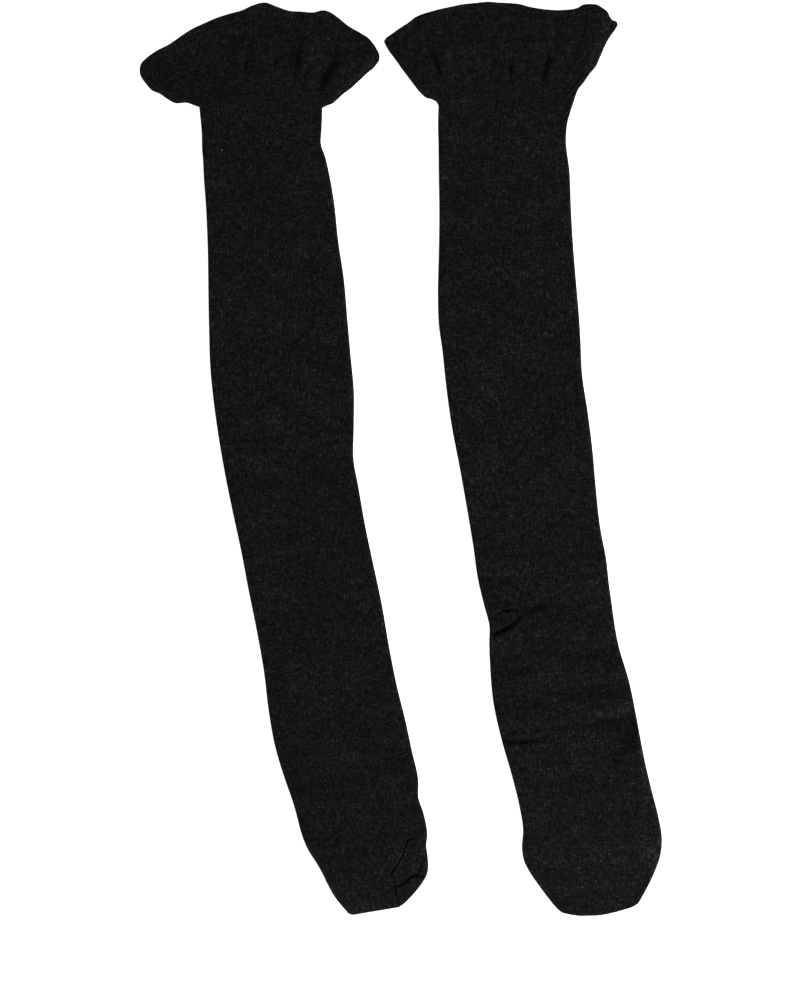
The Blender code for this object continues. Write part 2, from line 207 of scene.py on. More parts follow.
# %% Ruffle of the right sock
RIGHT_SIDE_FOLD = table(
    Point,
    (23.9, 235.4), (21.1, 237.1), (16.6, 238.4), (13.3, 241.3), (7.8, 248.2), (1.8, 256.1),
    (-3.8, 264.0), (-7.9, 269.5),
)
RIGHT_MOUTH = table(
    Point,
    (-11.0, 275.3), (-9.4, 277.6), (-6.3, 279.8), (-2.3, 282.7), (1.7, 285.4), (5.6, 287.9),
    (9.5, 291.0), (13.5, 292.9), (19.2, 294.7), (25.4, 296.4), (33.3, 298.1), (41.2, 299.7),
    (49.2, 300.5), (58.0, 301.3), (65.0, 300.7), (72.9, 300.4), (78.0, 299.8), (84.8, 298.0),
    (92.7, 296.6), (100.7, 295.9), (108.6, 296.0), (116.5, 297.3), (120.3, 299.4), (125.0, 299.8),
    (129.4, 299.3), (133.1, 297.3), (136.2, 294.8), (138.1, 291.1), (139.8, 289.2), (142.2, 288.3),
    (143.2, 285.9),
)
RIGHT_OTHER_SIDE_FOLD = table(
    Point,
    (114.2, 235.7), (115.8, 240.7), (117.3, 244.0), (120.9, 248.5), (124.5, 253.8), (128.8, 259.0),
    (131.4, 264.7), (134.3, 271.3), (137.4, 277.4), (141.1, 282.6),
)
print(len(RIGHT_MOUTH), "points along the right mouth")

# %% [markdown]
# ## Creases, patches and lint, with painted shade and light
#
# A crease is one bent line with a half width and a depth, and sometimes a lip: cloth that stands
# up along one side, where the knit laps over itself. A negative depth gives a ridge. Narrow rows
# are slits, and most of them lie in a wider, softer trough. Patches make the surface paler or darker:
# some are the knit's own uneven grey, and many are painted shade in pits and troughs and painted
# light on bands and fold edges that face the lamp. The table of lint has the few specks and curled
# fibres that stand out, and pale fibres laid along some fold edges, a crease lip and a ridge as
# painted highlights, each with its heading and bend in degrees.

# %% Creases of the left sock
Crease = namedtuple("Crease", "from_x from_y over_x over_y to_x to_y half_width depth lip")

LEFT_CREASES = table(
    Crease,
    (-102.5, 264.0, -102.6, 259.8, -103.0, 255.6, 1.4, 1.6, 0.0),
    (-102.3, 246.2, -101.4, 259.4, -100.3, 274.6, 3.0, 1.0, 0.0),
    (-83.2, 264.6, -83.3, 261.2, -83.6, 257.6, 1.0, 1.4, 0.0),
    (-81.8, 248.8, -81.8, 260.7, -81.2, 274.6, 2.6, 0.8, 0.0),
    (-70.4, 257.5, -70.0, 266.5, -69.2, 276.5, 3.2, 1.4, 0.0),
    (-68.6, 255.5, -67.6, 265.0, -67.2, 276.0, 1.8, 1.4, 0.0),
    (-68.0, 273.9, -69.0, 284.5, -67.3, 296.0, 3.2, 1.0, 0.0),
    (-53.6, 243.5, -51.4, 251.0, -45.6, 263.5, 3.4, 2.8, 0.3),
    (-46.6, 255.4, -44.0, 264.7, -43.2, 275.9, 3.2, 1.6, 0.0),
    (-136.6, 243.5, -140.6, 247.5, -145.9, 252.1, 2.4, 1.0, 0.0),
    (-128.7, 243.5, -115.5, 243.5, -99.0, 242.2, 2.8, 0.8, 0.0),
    (-60.5, 244.0, -58.0, 262.0, -55.0, 282.0, 3.6, -0.8, 0.0),
    (-119.5, 11.9, -72.6, 16.5, -30.4, 23.1, 1.4, 0.9, 0.3),
    (-75.9, -122.8, -52.8, -120.1, -31.7, -115.5, 3.0, 0.7, 0.0),
    (-88.4, -144.5, -77.9, -143.9, -64.7, -141.2, 2.4, 0.9, 0.0),
    (-110.9, -28.4, -72.6, -25.1, -26.4, -20.5, 3.0, 0.5, 0.0),
    (-76.6, -217.1, -66.0, -215.8, -51.5, -211.9, 4.0, 0.9, 0.0),
    (3.6, -253.6, 5.8, -250.2, 9.6, -249.6, 0.7, 1.4, 0.0),
    (5.2, -250.4, 2.5, -256.4, 1.0, -262.0, 0.6, 1.1, 0.9),
    (1.3, -260.4, -2.6, -266.6, -6.4, -273.6, 0.6, 1.0, 0.9),
    (-4.6, -269.8, -5.6, -271.6, -6.4, -273.8, 0.7, 1.3, 0.0),
    (6.6, -252.0, 3.2, -261.5, -2.5, -271.5, 2.2, 0.7, 0.0),
    (-5.7, -274.0, -5.0, -278.0, -4.3, -281.6, 0.6, 0.8, 0.0),
    (-4.8, -279.6, -3.0, -285.4, -0.4, -294.0, 0.6, 1.3, 0.4),
    (-4.8, -281.6, 0.2, -280.0, 4.6, -277.6, 0.7, 1.5, 0.4),
    (2.8, -279.4, 8.8, -273.9, 17.6, -276.4, 0.9, 2.1, 0.6),
    (13.4, -264.5, 12.0, -268.9, 10.2, -273.9, 1.2, 0.9, 0.0),
)
print("deepest left crease:", max(crease.depth for crease in LEFT_CREASES), "mm")

# %% Creases of the right sock
RIGHT_CREASES = table(
    Crease,
    (18.0, 271.0, 23.2, 260.6, 26.4, 251.8, 1.3, 2.0, 0.3),
    (17.8, 272.6, 24.4, 259.0, 32.0, 245.2, 3.0, 1.0, 0.0),
    (71.9, 260.6, 71.8, 256.6, 72.2, 252.4, 1.4, 1.6, 0.0),
    (73.9, 247.5, 72.6, 256.7, 73.3, 269.3, 2.6, 0.8, 0.0),
    (97.8, 267.0, 94.8, 257.6, 92.8, 248.5, 1.9, 2.1, 0.0),
    (94.4, 258.7, 100.3, 275.5, 103.0, 296.7, 3.0, 1.4, 0.0),
    (111.0, 242.6, 116.5, 249.6, 124.4, 260.4, 1.3, 1.3, 0.0),
    (119.9, 251.5, 127.0, 262.7, 131.0, 273.3, 1.6, 1.0, 0.0),
    (125.4, 262.0, 132.0, 273.9, 136.0, 284.5, 2.0, 0.8, 0.0),
    (139.8, 290.6, 138.4, 284.6, 135.4, 277.6, 0.8, 1.3, 0.5),
    (51.5, 242.2, 46.2, 255.4, 43.6, 269.9, 2.8, 0.9, 0.0),
    (58.7, 263.3, 59.4, 258.1, 58.7, 252.8, 1.6, 0.9, 0.0),
    (47.8, -79.2, 64.0, -78.5, 80.5, -77.2, 3.0, 1.0, 0.0),
    (49.0, -117.6, 66.5, -112.6, 78.8, -102.6, 1.5, 2.3, 0.9),
    (62.4, -101.8, 72.6, -98.9, 79.6, -100.3, 1.0, 1.6, 0.0),
    (78.0, -100.8, 83.0, -101.4, 88.6, -101.2, 1.8, 1.0, 0.0),
    (83.0, -97.6, 90.0, -96.6, 99.0, -95.8, 1.8, 0.8, 0.0),
    (74.2, -98.6, 85.8, -97.0, 99.0, -93.6, 2.6, 1.4, 0.0),
    (58.7, -145.6, 73.9, -139.8, 88.4, -133.0, 3.4, 1.4, 0.0),
    (98.4, -125.7, 122.1, -126.3, 150.5, -124.4, 3.4, 0.8, 0.0),
    (97.7, -168.6, 128.7, -166.6, 158.4, -161.4, 2.2, -1.0, 0.0),
    (95.7, -175.9, 122.1, -173.9, 147.8, -170.6, 2.4, 1.0, 0.0),
    (63.0, -185.1, 79.2, -185.5, 97.0, -183.0, 1.8, 2.1, 0.4),
    (146.5, -167.0, 151.8, -177.5, 154.4, -192.1, 4.0, 1.4, 0.0),
    (103.6, -152.8, 125.4, -151.5, 147.2, -151.5, 4.0, 1.0, 0.0),
    (136.0, -190.0, 139.0, -197.0, 143.0, -203.0, 2.6, 0.8, 0.0),
)
print("deepest right crease:", max(crease.depth for crease in RIGHT_CREASES), "mm")

# %% Patches of both socks
Patch = namedtuple("Patch", "x y reach_x reach_y tone")

# Many of these patches are painted shade in pits and troughs and painted light on bands and fold
# edges facing the lamp; some are the knit's own uneven grey.
LEFT_PATCHES = table(
    Patch,
    (-19.8, -284.5, 26.0, 12.0, 0.22), (-22.0, -296.5, 14.0, 4.5, 1.00),
    (-4.5, -262.5, 6.0, 6.5, 0.26), (-17.8, -267.3, 6.0, 5.0, 0.26),
    (-58.5, -235.0, 6.5, 8.0, 0.26), (-42.9, -258.0, 20.0, 20.0, 0.06),
    (-66.0, -214.0, 12.0, 6.0, -0.22), (3.0, -208.5, 4.0, 8.0, -0.20),
    (-75.0, -189.0, 12.0, 6.0, -0.20), (-53.0, -190.0, 6.0, 7.0, -0.22),
    (-0.7, -165.0, 4.0, 4.0, 0.20), (-36.0, -159.0, 12.0, 8.0, 0.10),
    (-17.8, -158.4, 5.0, 6.0, -0.24), (-11.9, -147.8, 6.5, 6.5, -0.38),
    (-46.0, -119.5, 30.0, 5.0, -0.10), (-78.0, -121.5, 7.0, 4.0, 0.28),
    (-39.6, -104.0, 7.0, 5.0, 0.15), (-12.5, -106.3, 4.0, 5.0, 0.26),
    (-89.0, -99.7, 8.0, 7.0, 0.12), (-74.0, 34.0, 8.0, 6.0, 0.15), (-101.0, 57.5, 14.0, 4.0, -0.20),
    (-73.3, 125.4, 6.0, 5.0, 0.24), (-124.2, 134.6, 2.6, 10.0, 0.30), (-55.0, 75.0, 8.0, 6.0, 0.13),
    (-51.5, 146.5, 6.0, 5.0, -0.20), (14.5, -268.5, 3.5, 4.5, -0.16),
    (15.2, -254.8, 4.5, 4.5, 0.30), (-149.2, 260.0, 3.0, 4.0, 0.30),
    (-140.0, 235.2, 11.0, 1.8, -0.35), (-115.5, 243.5, 20.0, 7.0, -0.10),
    (-70.8, 265.6, 4.2, 10.0, -0.58), (-49.8, 252.4, 5.2, 5.4, -0.60),
    (-45.5, 260.0, 4.5, 4.5, -0.28), (-43.4, 265.0, 4.5, 7.0, -0.18),
    (-58.0, 268.0, 7.0, 13.0, 0.22), (-31.0, 262.0, 10.0, 12.0, 0.14),
    (-18.5, 271.3, 4.0, 5.0, 0.28), (-155.8, 242.2, 6.0, 4.0, -0.24),
    (-115.0, 262.0, 40.0, 20.0, -0.08),
)
# Here too many patches are painted shade and painted light, and some are the knit's own uneven grey.
RIGHT_PATCHES = table(
    Patch,
    (125.4, -268.0, 46.0, 42.0, 0.16), (163.0, -258.0, 7.0, 11.0, 0.50),
    (166.5, -268.0, 3.5, 14.0, 0.56), (171.0, -249.0, 3.0, 7.0, 0.45),
    (135.0, -298.0, 6.0, 3.0, 0.40), (151.8, -254.8, 3.0, 14.0, -0.14),
    (145.5, -250.0, 3.0, 14.0, 0.18), (130.0, -243.0, 5.0, 14.0, -0.16),
    (98.0, -257.0, 13.0, 7.0, 0.28), (88.0, -272.0, 4.0, 11.0, 0.42),
    (140.0, -287.0, 11.0, 8.0, 0.34), (143.2, -269.9, 7.0, 6.5, 0.34),
    (115.0, -281.5, 6.0, 4.0, -0.20), (87.3, -236.8, 6.0, 7.0, 0.58),
    (76.6, -211.2, 4.0, 5.0, 0.28), (161.6, -211.0, 4.0, 14.0, 0.80),
    (157.9, -193.2, 2.5, 6.0, 0.50), (140.5, -198.0, 4.0, 6.0, -0.30),
    (88.5, -193.5, 9.0, 6.0, 0.30), (87.1, -200.5, 5.0, 5.5, 0.30), (126.0, -186.5, 8.0, 5.0, 0.20),
    (150.0, -181.5, 7.0, 9.5, -0.48), (152.5, -187.0, 6.0, 5.0, -0.25),
    (144.8, -189.0, 5.5, 4.5, -0.26), (127.0, -171.0, 22.0, 2.2, -0.20),
    (128.0, -166.3, 36.0, 3.0, 0.24), (112.0, -164.0, 12.0, 3.0, 0.16),
    (149.8, -161.8, 5.0, 2.6, 0.45), (82.0, -164.0, 12.0, 5.0, -0.12),
    (127.0, -153.0, 26.0, 5.0, -0.20), (79.0, -151.5, 14.0, 4.0, 0.14),
    (118.0, -140.5, 14.0, 4.0, 0.14), (128.7, -145.9, 6.0, 3.0, -0.22),
    (60.7, -132.0, 6.0, 3.0, 0.32), (76.5, -137.5, 10.0, 5.5, -0.38),
    (125.4, -126.5, 24.0, 4.5, -0.14), (73.0, -122.5, 14.0, 4.5, 0.26),
    (59.6, -119.2, 4.0, 2.2, -0.44), (62.5, -108.4, 6.0, 3.6, 0.52),
    (84.5, -101.2, 2.6, 2.0, -0.30), (88.0, -97.5, 12.0, 3.5, -0.22),
    (62.7, -79.9, 16.0, 3.5, -0.22), (117.0, -50.0, 6.0, 8.0, 0.13), (117.5, 57.4, 4.0, 5.0, 0.26),
    (101.6, 143.2, 6.0, 6.0, -0.24), (56.0, 87.8, 4.5, 8.5, 0.26), (49.5, 121.4, 10.0, 3.0, -0.16),
    (77.5, 207.0, 6.0, 6.0, -0.14), (49.5, 233.6, 8.0, 6.0, 0.16), (20.0, 241.5, 8.0, 3.0, -0.25),
    (25.2, 255.8, 2.4, 2.8, -0.34), (31.5, 262.0, 4.0, 6.0, 0.16), (93.6, 253.6, 3.2, 4.2, -0.32),
    (97.5, 275.0, 4.0, 11.0, -0.20), (93.0, 296.0, 9.0, 2.4, 0.56), (120.0, 290.0, 6.0, 6.0, -0.15),
    (129.5, 270.0, 4.0, 8.0, 0.20), (137.0, 284.0, 5.0, 10.0, 0.45), (134.2, 276.0, 3.6, 7.0, 0.58),
)
for patches in (LEFT_PATCHES, RIGHT_PATCHES):
    print(sum(patch.tone > 0.0 for patch in patches), "paler patches of", len(patches))

# %% Lint and painted highlights of both socks
Fibre = namedtuple("Fibre", "x y heading length bend radius paleness")

LEFT_LINT_AND_HIGHLIGHTS = table(
    Fibre,
    (-118.1, 203.4, 20.0, 1.2, 40.0, 0.34, 0.130),
    (-70.5, 156.6, 55.0, 6.2, -60.0, 0.12, 0.050),
    (-65.1, 161.0, -28.0, 7.2, -45.0, 0.13, 0.055),
    (-72.1, 154.7, -105.0, 5.0, -20.0, 0.10, 0.040),
    (-113.3, 112.6, 0.0, 4.8, 10.0, 0.10, 0.036),
    (-109.0, 112.5, 12.0, 9.0, 60.0, 0.12, 0.050),
    (-122.9, 269.1, 40.0, 0.9, 30.0, 0.20, 0.070),
    (2.2, -196.0, 62.0, 4.0, -30.0, 0.12, 0.060),
    (-78.9, -94.7, 80.0, 0.8, 20.0, 0.20, 0.080),
    # These two pale fibres lie along the lip of a toe crease, as a painted highlight.
    (1.7, -256.6, -113.0, 7.4, -6.0, 0.22, 0.046),
    (-1.5, -263.6, -118.0, 7.4, -4.0, 0.22, 0.040),
    # These four lie along the ruffle's side fold, as a painted highlight on its edge.
    (-44.0, 238.4, 40.0, 8.5, 6.0, 0.20, 0.030),
    (-36.6, 244.4, 42.0, 9.0, 4.0, 0.22, 0.032),
    (-29.0, 251.2, 43.0, 9.0, 4.0, 0.20, 0.034),
    (-21.8, 258.2, 48.0, 6.0, 20.0, 0.22, 0.036),
)
RIGHT_LINT_AND_HIGHLIGHTS = table(
    Fibre,
    (52.9, 211.5, 30.0, 0.9, 40.0, 0.26, 0.130),
    (128.4, 272.8, 60.0, 1.2, 30.0, 0.30, 0.060),
    (138.9, 287.2, 60.0, 1.6, 30.0, 0.26, 0.050),
    (97.2, -203.8, 20.0, 0.8, 40.0, 0.26, 0.120),
    (123.5, -215.3, 80.0, 1.0, 30.0, 0.26, 0.080),
    (134.4, -229.2, 20.0, 0.8, 30.0, 0.22, 0.060),
    (101.4, -232.4, 0.0, 1.0, 50.0, 0.22, 0.060),
    (163.2, -261.6, 70.0, 1.3, 50.0, 0.26, 0.100),
    (122.5, -238.4, 40.0, 0.9, 50.0, 0.22, 0.055),
    # These two lie along the right edge of the foot, and the rest along a ridge, as painted
    # highlights.
    (156.6, -190.4, -72.0, 6.6, 14.0, 0.16, 0.075),
    (158.4, -202.6, -76.0, 4.6, 10.0, 0.22, 0.100),
    (146.6, -161.2, 24.0, 4.8, -20.0, 0.20, 0.070),
    (142.6, -164.8, 14.0, 5.2, 24.0, 0.14, 0.050),
    (113.4, -164.2, 12.0, 6.4, 20.0, 0.13, 0.048),
    (110.6, -168.4, 10.0, 1.0, 40.0, 0.22, 0.080),
    (100.5, -168.8, 82.0, 3.2, -30.0, 0.12, 0.045),
    (103.9, -170.0, 4.0, 4.6, 20.0, 0.12, 0.045),
    (124.6, -166.6, 6.0, 7.0, -24.0, 0.12, 0.045),
)
print("longest piece of lint:", max(row.length for row in LEFT_LINT_AND_HIGHLIGHTS + RIGHT_LINT_AND_HIGHLIGHTS), "mm")

# %% The two socks
Ruffle = namedtuple("Ruffle", "side_fold mouth other_side_fold")
Sock = namedtuple("Sock", "side seed shade sections ruffle creases patches lint")

LEFT_RUFFLE = Ruffle(LEFT_SIDE_FOLD, LEFT_MOUTH, LEFT_OTHER_SIDE_FOLD)
RIGHT_RUFFLE = Ruffle(RIGHT_SIDE_FOLD, RIGHT_MOUTH, RIGHT_OTHER_SIDE_FOLD)
SOCKS = (
    Sock("left", 3, 0.94, LEFT_SECTIONS, LEFT_RUFFLE, LEFT_CREASES, LEFT_PATCHES, LEFT_LINT_AND_HIGHLIGHTS),
    Sock("right", 8, 1.0, RIGHT_SECTIONS, RIGHT_RUFFLE, RIGHT_CREASES, RIGHT_PATCHES, RIGHT_LINT_AND_HIGHLIGHTS),
)
for sock in SOCKS:
    print(sock.side, "sock:", len(sock.creases), "creases and", len(sock.lint), "pieces of lint")

# %% [markdown]
# ## Reading a smooth curve through a table
#
# The edges of a sock are smooth, so the rows must not show as corners. A cubic piece between each
# two rows, with its slopes taken from the rows around it, gives a soft line through them all.

# %% Smooth curves
def column(rows, name):
    """One named column of a table as an array."""
    return np.array([getattr(row, name) for row in rows], dtype=float)


def smooth(knots, values, at):
    """Read a smooth curve through the table's points at the given places."""
    slopes = np.gradient(values, knots)
    index = np.clip(np.searchsorted(knots, at, side="right") - 1, 0, len(knots) - 2)
    span = knots[index + 1] - knots[index]
    t = (at - knots[index]) / span
    rest = 1.0 - t
    start = (1.0 + 2.0 * t) * rest**2 * values[index] + t * rest**2 * span * slopes[index]
    end = t**2 * (3.0 - 2.0 * t) * values[index + 1] - t**2 * rest * span * slopes[index + 1]
    return start + end


def reached(rows):
    """How far along its own line each row of a table lies."""
    steps = np.hypot(np.diff(column(rows, "x")), np.diff(column(rows, "y")))
    return np.concatenate(([0.0], np.cumsum(steps)))


def line_place(points, share):
    """A place on a bent edge, by its share of the way along it."""
    way = reached(points)
    knots = way / way[-1]
    return smooth(knots, column(points, "x"), share), smooth(knots, column(points, "y"), share)


for sock in SOCKS:
    print(sock.side, "leg and foot", round(reached(sock.sections)[-1]), "mm long")

# %% [markdown]
# ## From a place in the cloth to a place on the floor
#
# Two numbers name a place in the cloth: its share across, from one side fold to the other, and
# how far down the sock it lies. Above the leg the second number is negative. There the patch
# between the four lines of the ruffle is filled by blending them, so each column of stitches
# fans out from the leg to the mouth in one smooth line.

# %% Places on the floor
RUFFLE_LENGTH = 64.0


def leg_place(sock, across, down):
    """Where a point of the leg lies."""
    knots = reached(sock.sections)
    x, y, width, tilt = (smooth(knots, column(sock.sections, name), down)
                         for name in ("x", "y", "width", "tilt"))
    sideways = (across - 0.5) * width
    angle = np.radians(tilt)
    return x + sideways * np.cos(angle), y + sideways * np.sin(angle)


def ruffle_place(sock, across, along):
    """Where a point of the ruffle lies: the blend of the leg's top, the mouth and the sides."""
    ends = leg_place(sock, np.array([0.0, 1.0]), np.zeros(2))
    corners = [Point(x, y) for x, y in zip(*ends)]
    mouth = sock.ruffle.mouth
    side = (corners[0], *sock.ruffle.side_fold, mouth[0])
    other_side = (corners[1], *sock.ruffle.other_side_fold, mouth[-1])
    near = leg_place(sock, across, np.zeros_like(across))
    far = line_place(mouth, across)
    left = line_place(side, along)
    right = line_place(other_side, along)
    places = []
    for axis in (0, 1):
        flat_left = (1.0 - along) * side[0][axis] + along * side[-1][axis]
        flat_right = (1.0 - along) * other_side[0][axis] + along * other_side[-1][axis]
        between = (1.0 - along) * near[axis] + along * far[axis]
        bulge = (1.0 - across) * (left[axis] - flat_left) + across * (right[axis] - flat_right)
        places.append(between + bulge)
    return places


def cloth_place(sock, across, down):
    """Where any point of the cloth lies on the floor."""
    leg = leg_place(sock, across, np.maximum(down, 0.0))
    ruffle = ruffle_place(sock, across, np.clip(-down / RUFFLE_LENGTH, 0.0, 1.0))
    return [np.where(down < 0.0, above, below) for above, below in zip(ruffle, leg)]


for sock in SOCKS:
    mouth_x, mouth_y = cloth_place(sock, np.array([0.5]), np.array([-RUFFLE_LENGTH]))
    print(f"middle of the {sock.side} mouth: x {mouth_x[0]:.1f}, y {mouth_y[0]:.1f} mm")

# %% [markdown]
# ## Rings and columns
#
# Cloth that turns round a side fold needs more points there than in the flat middle. Distances
# across a ring are measured along the cloth, so that they stay even where the ruffle fans out.
# The knit has the same 76 columns of stitches on a face, its wales, from mouth to toe. In the leg
# a wale is about 1.1 mm wide, and at the mouth about twice that, as the ruffle is knitted looser.

# %% Ring columns
FOLD_DEPTH = 2.4
FOLD_STEPS = 4
MIDDLE_WALES = 72
FOLD_WALES = 2
FACE_WALES = MIDDLE_WALES + 2 * FOLD_WALES
CURVE_SAMPLES = 241


def ring_columns(sock, down, parts):
    """Each column's share across a ring, its distance from the nearer side, and its wale."""
    samples = np.linspace(0.0, 1.0, CURVE_SAMPLES)
    x, y = cloth_place(sock, samples, np.full_like(samples, down))
    length = np.concatenate(([0.0], np.cumsum(np.hypot(np.diff(x), np.diff(y)))))
    turn = np.linspace(0.0, 1.0, FOLD_STEPS * parts + 1)
    fold = FOLD_DEPTH * (1.0 - np.cos(0.5 * math.pi * turn))
    share = np.linspace(0.0, 1.0, MIDDLE_WALES * parts + 1)[1:-1]
    middle = FOLD_DEPTH + share * (length[-1] - 2.0 * FOLD_DEPTH)
    distance = np.concatenate((fold, middle, length[-1] - fold[::-1]))
    wales = np.concatenate((FOLD_WALES * turn, FOLD_WALES + MIDDLE_WALES * share,
                            FACE_WALES - FOLD_WALES * turn[::-1]))
    across = np.interp(distance, length, samples)
    return across, np.minimum(distance, length[-1] - distance), wales


for sock in SOCKS:
    for name, down in (("top of the leg", 0.0), ("mouth", -RUFFLE_LENGTH)):
        side = ring_columns(sock, down, 1)[1]
        print(f"{sock.side} sock, {name}: a wale is {2.0 * side.max() / FACE_WALES:.2f} mm wide")

# %% [markdown]
# ## How a crease presses the cloth
#
# The depth of a crease falls off with the distance from its line, and towards its two ends. The
# cloth just beside it stands up a little. Where the knit laps, a lip stands up on one side only.

# %% The line of a crease
LINE_SAMPLES = 61


def crease_line(crease):
    """Points along a crease's bent line, and each one's share of the way."""
    share = np.linspace(0.0, 1.0, LINE_SAMPLES)
    near = (1.0 - share) * (1.0 - 2.0 * share)
    half = 4.0 * share * (1.0 - share)
    far = share * (2.0 * share - 1.0)
    x = near * crease.from_x + half * crease.over_x + far * crease.to_x
    y = near * crease.from_y + half * crease.over_y + far * crease.to_y
    return x, y, share


def near_crease(crease, x, y, widths_away):
    """The points near a crease, how many half widths away each is, its side and its strength."""
    line_x, line_y, share = crease_line(crease)
    reach = widths_away * crease.half_width
    close = np.flatnonzero((x > line_x.min() - reach) & (x < line_x.max() + reach)
                           & (y > line_y.min() - reach) & (y < line_y.max() + reach))
    gap_x = x[close][:, None] - line_x
    gap_y = y[close][:, None] - line_y
    gap = np.hypot(gap_x, gap_y)
    nearest = gap.argmin(axis=1)
    rows = np.arange(len(close))
    ahead_x = np.gradient(line_x)[nearest]
    ahead_y = np.gradient(line_y)[nearest]
    turn = ahead_x * gap_y[rows, nearest] - ahead_y * gap_x[rows, nearest]
    strength = np.sqrt(4.0 * share * (1.0 - share))[nearest]
    return close, gap[rows, nearest] / crease.half_width, np.sign(turn), strength


for sock in SOCKS:
    lines = (crease_line(crease)[:2] for crease in sock.creases)
    lengths = [np.hypot(np.diff(x), np.diff(y)).sum() for x, y in lines]
    print(f"{sock.side} creases are {min(lengths):.0f} to {max(lengths):.0f} mm long")

# %% The depth of the creases
CREASE_REACH = 5.0
SHOULDER = 0.25
SHOULDER_AWAY = 2.0
LIP_WIDTH = 1.6
LIP_AWAY = 1.2


def crease_depth(creases, x, y):
    """How far the creases press the cloth down at each place."""
    depth = np.zeros_like(x)
    for crease in creases:
        close, widths, side, strength = near_crease(crease, x, y, CREASE_REACH)
        trough = np.exp(-widths**2) - SHOULDER * np.exp(-(widths - SHOULDER_AWAY)**2)
        on_lip = widths * side * np.sign(crease.lip) / LIP_WIDTH - LIP_AWAY
        raised = abs(crease.lip) * np.exp(-on_lip**2)
        depth[close] += strength * (crease.depth * trough - raised)
    return depth


for sock in SOCKS:
    middles = [column(sock.creases, name) for name in ("over_x", "over_y")]
    pressed = crease_depth(sock.creases, *middles)
    print(f"{sock.side} creases press {pressed.min():.1f} to {pressed.max():.1f} mm at their middles")

# %% [markdown]
# ## The height of the cloth
#
# The back layer lies on the floor and the front layer on the back layer, with a little air in
# between. A few long, low waves keep the cloth from looking pressed. The ruffle swells above its
# gathers, carries fine ribs along its wales, and ends in a narrow self-rolled edge.

# %% Waves and folds
WAVE_HEIGHT = 0.22
WAVE_LENGTHS = (61.0, 43.0, 29.0, 19.0, 12.0)
WAVE_TURN = 0.5
WAVE_BENDS = (0.6, 1.4)
BEND_LENGTH = 0.7
TURN_SHARE = 0.6
FOLD_EASE = 3.2


def ease(value):
    """Rise gently from 0 to 1 and stay there."""
    t = np.clip(value, 0.0, 1.0)
    return t * t * (3.0 - 2.0 * t)


def wave(count, across):
    """A row of even waves across a layer, between 0 and 1."""
    return 0.5 * (1.0 - np.cos(2.0 * math.pi * count * across))


def unevenness(x, y, seed):
    """Long, low waves in the cloth, from a few slanted ripples with seeded places."""
    random = np.random.default_rng(seed)
    height = np.zeros_like(x)
    for length in WAVE_LENGTHS:
        turn = random.uniform(-WAVE_TURN, WAVE_TURN)
        shift = random.uniform(0.0, 2.0 * math.pi)
        bend = random.uniform(*WAVE_BENDS) * np.sin(x / (BEND_LENGTH * length) + shift)
        way = y * math.cos(turn) + x * math.sin(turn)
        height += np.sin(2.0 * math.pi * way / length + bend)
    return WAVE_HEIGHT * height / math.sqrt(len(WAVE_LENGTHS))


def roundness(distance, radius=FOLD_DEPTH):
    """How full the cloth stands near a folded edge: nothing on the edge, all past the fold."""
    inward = np.clip(distance / radius, 0.0, 1.0)
    return np.sqrt(1.0 - (1.0 - inward)**2)


def past_fold(side):
    """Nothing on the turn of a side fold, and 1 a few millimetres in from it."""
    return ease((side - TURN_SHARE * FOLD_DEPTH) / FOLD_EASE)


def fullness(sock, down, side):
    """Nothing on the side folds and the toe's end, and all of it where the layers lie flat."""
    length = reached(sock.sections)[-1]
    return roundness(side) * np.where(down > 0.0, roundness(length - down), 1.0)


for sock in SOCKS:
    waves = unevenness(column(sock.sections, "x"), column(sock.sections, "y"), sock.seed)
    print(f"waves down the {sock.side} leg: {waves.min():.2f} to {waves.max():.2f} mm")

# %% Rise of the ruffle
SWELL = 1.9
MOUTH_SWELL = 0.6
GATHERS = 13
GATHER_HEIGHT = 0.7
GATHER_DRIFT = 0.012
RIB_HEIGHT = 0.08
ROLL_RADIUS = 0.8
ROLL_WIDTH = 2.0
ROLL_HEIGHT = 0.4


def ruffle_rise(across, along, wales):
    """How far the ruffle's swell, gathers, ribs and rolled edge stand above the plain cloth."""
    swell = SWELL * ease(2.0 * along) - (SWELL - MOUTH_SWELL) * ease(2.0 * along - 1.0)
    # Two slow sines move the gathers sideways and make some taller, so that none are alike.
    drifted = across + GATHER_DRIFT * np.sin(9.0 * across + 4.0 * along)
    uneven = 0.6 + 0.4 * np.sin(17.0 * across + 2.0)
    fading = ease(5.0 * along) * ease(1.9 - 2.0 * along)
    gathers = GATHER_HEIGHT * wave(GATHERS, drifted) * uneven * fading
    ribs = -RIB_HEIGHT * np.cos(2.0 * math.pi * wales) * ease(2.5 * along - 0.3)
    from_mouth = (1.0 - along) * RUFFLE_LENGTH
    bead = ROLL_HEIGHT * ease(2.0 - from_mouth / ROLL_WIDTH)
    turned_down = ROLL_RADIUS * (1.0 - roundness(from_mouth, ROLL_RADIUS))
    return swell + gathers + ribs + bead - turned_down


for along in (0.25, 0.5, 0.75, 1.0):
    middle_rise = ruffle_rise(0.5, along, 0.5 * FACE_WALES)
    print(f"the ruffle rises {middle_rise:.2f} mm at {along:.2f} of its length")

# %% Front and back
WALL = 1.2
LAYER_GAP = 0.15
FOLD_LINE = 2.1
FOLD_TOP = 2.0 * FOLD_LINE
LOWEST_TOP = 2.0 * WALL + LAYER_GAP
HIGHEST_TOP = 8.0
BACK_RIPPLES = 5
BACK_LIFT = 0.5
BACK_WAVE_SIZE = 1.7
BACK_WAVE_SHARE = 0.8
HIGHEST_BACK_WAVE = 0.4


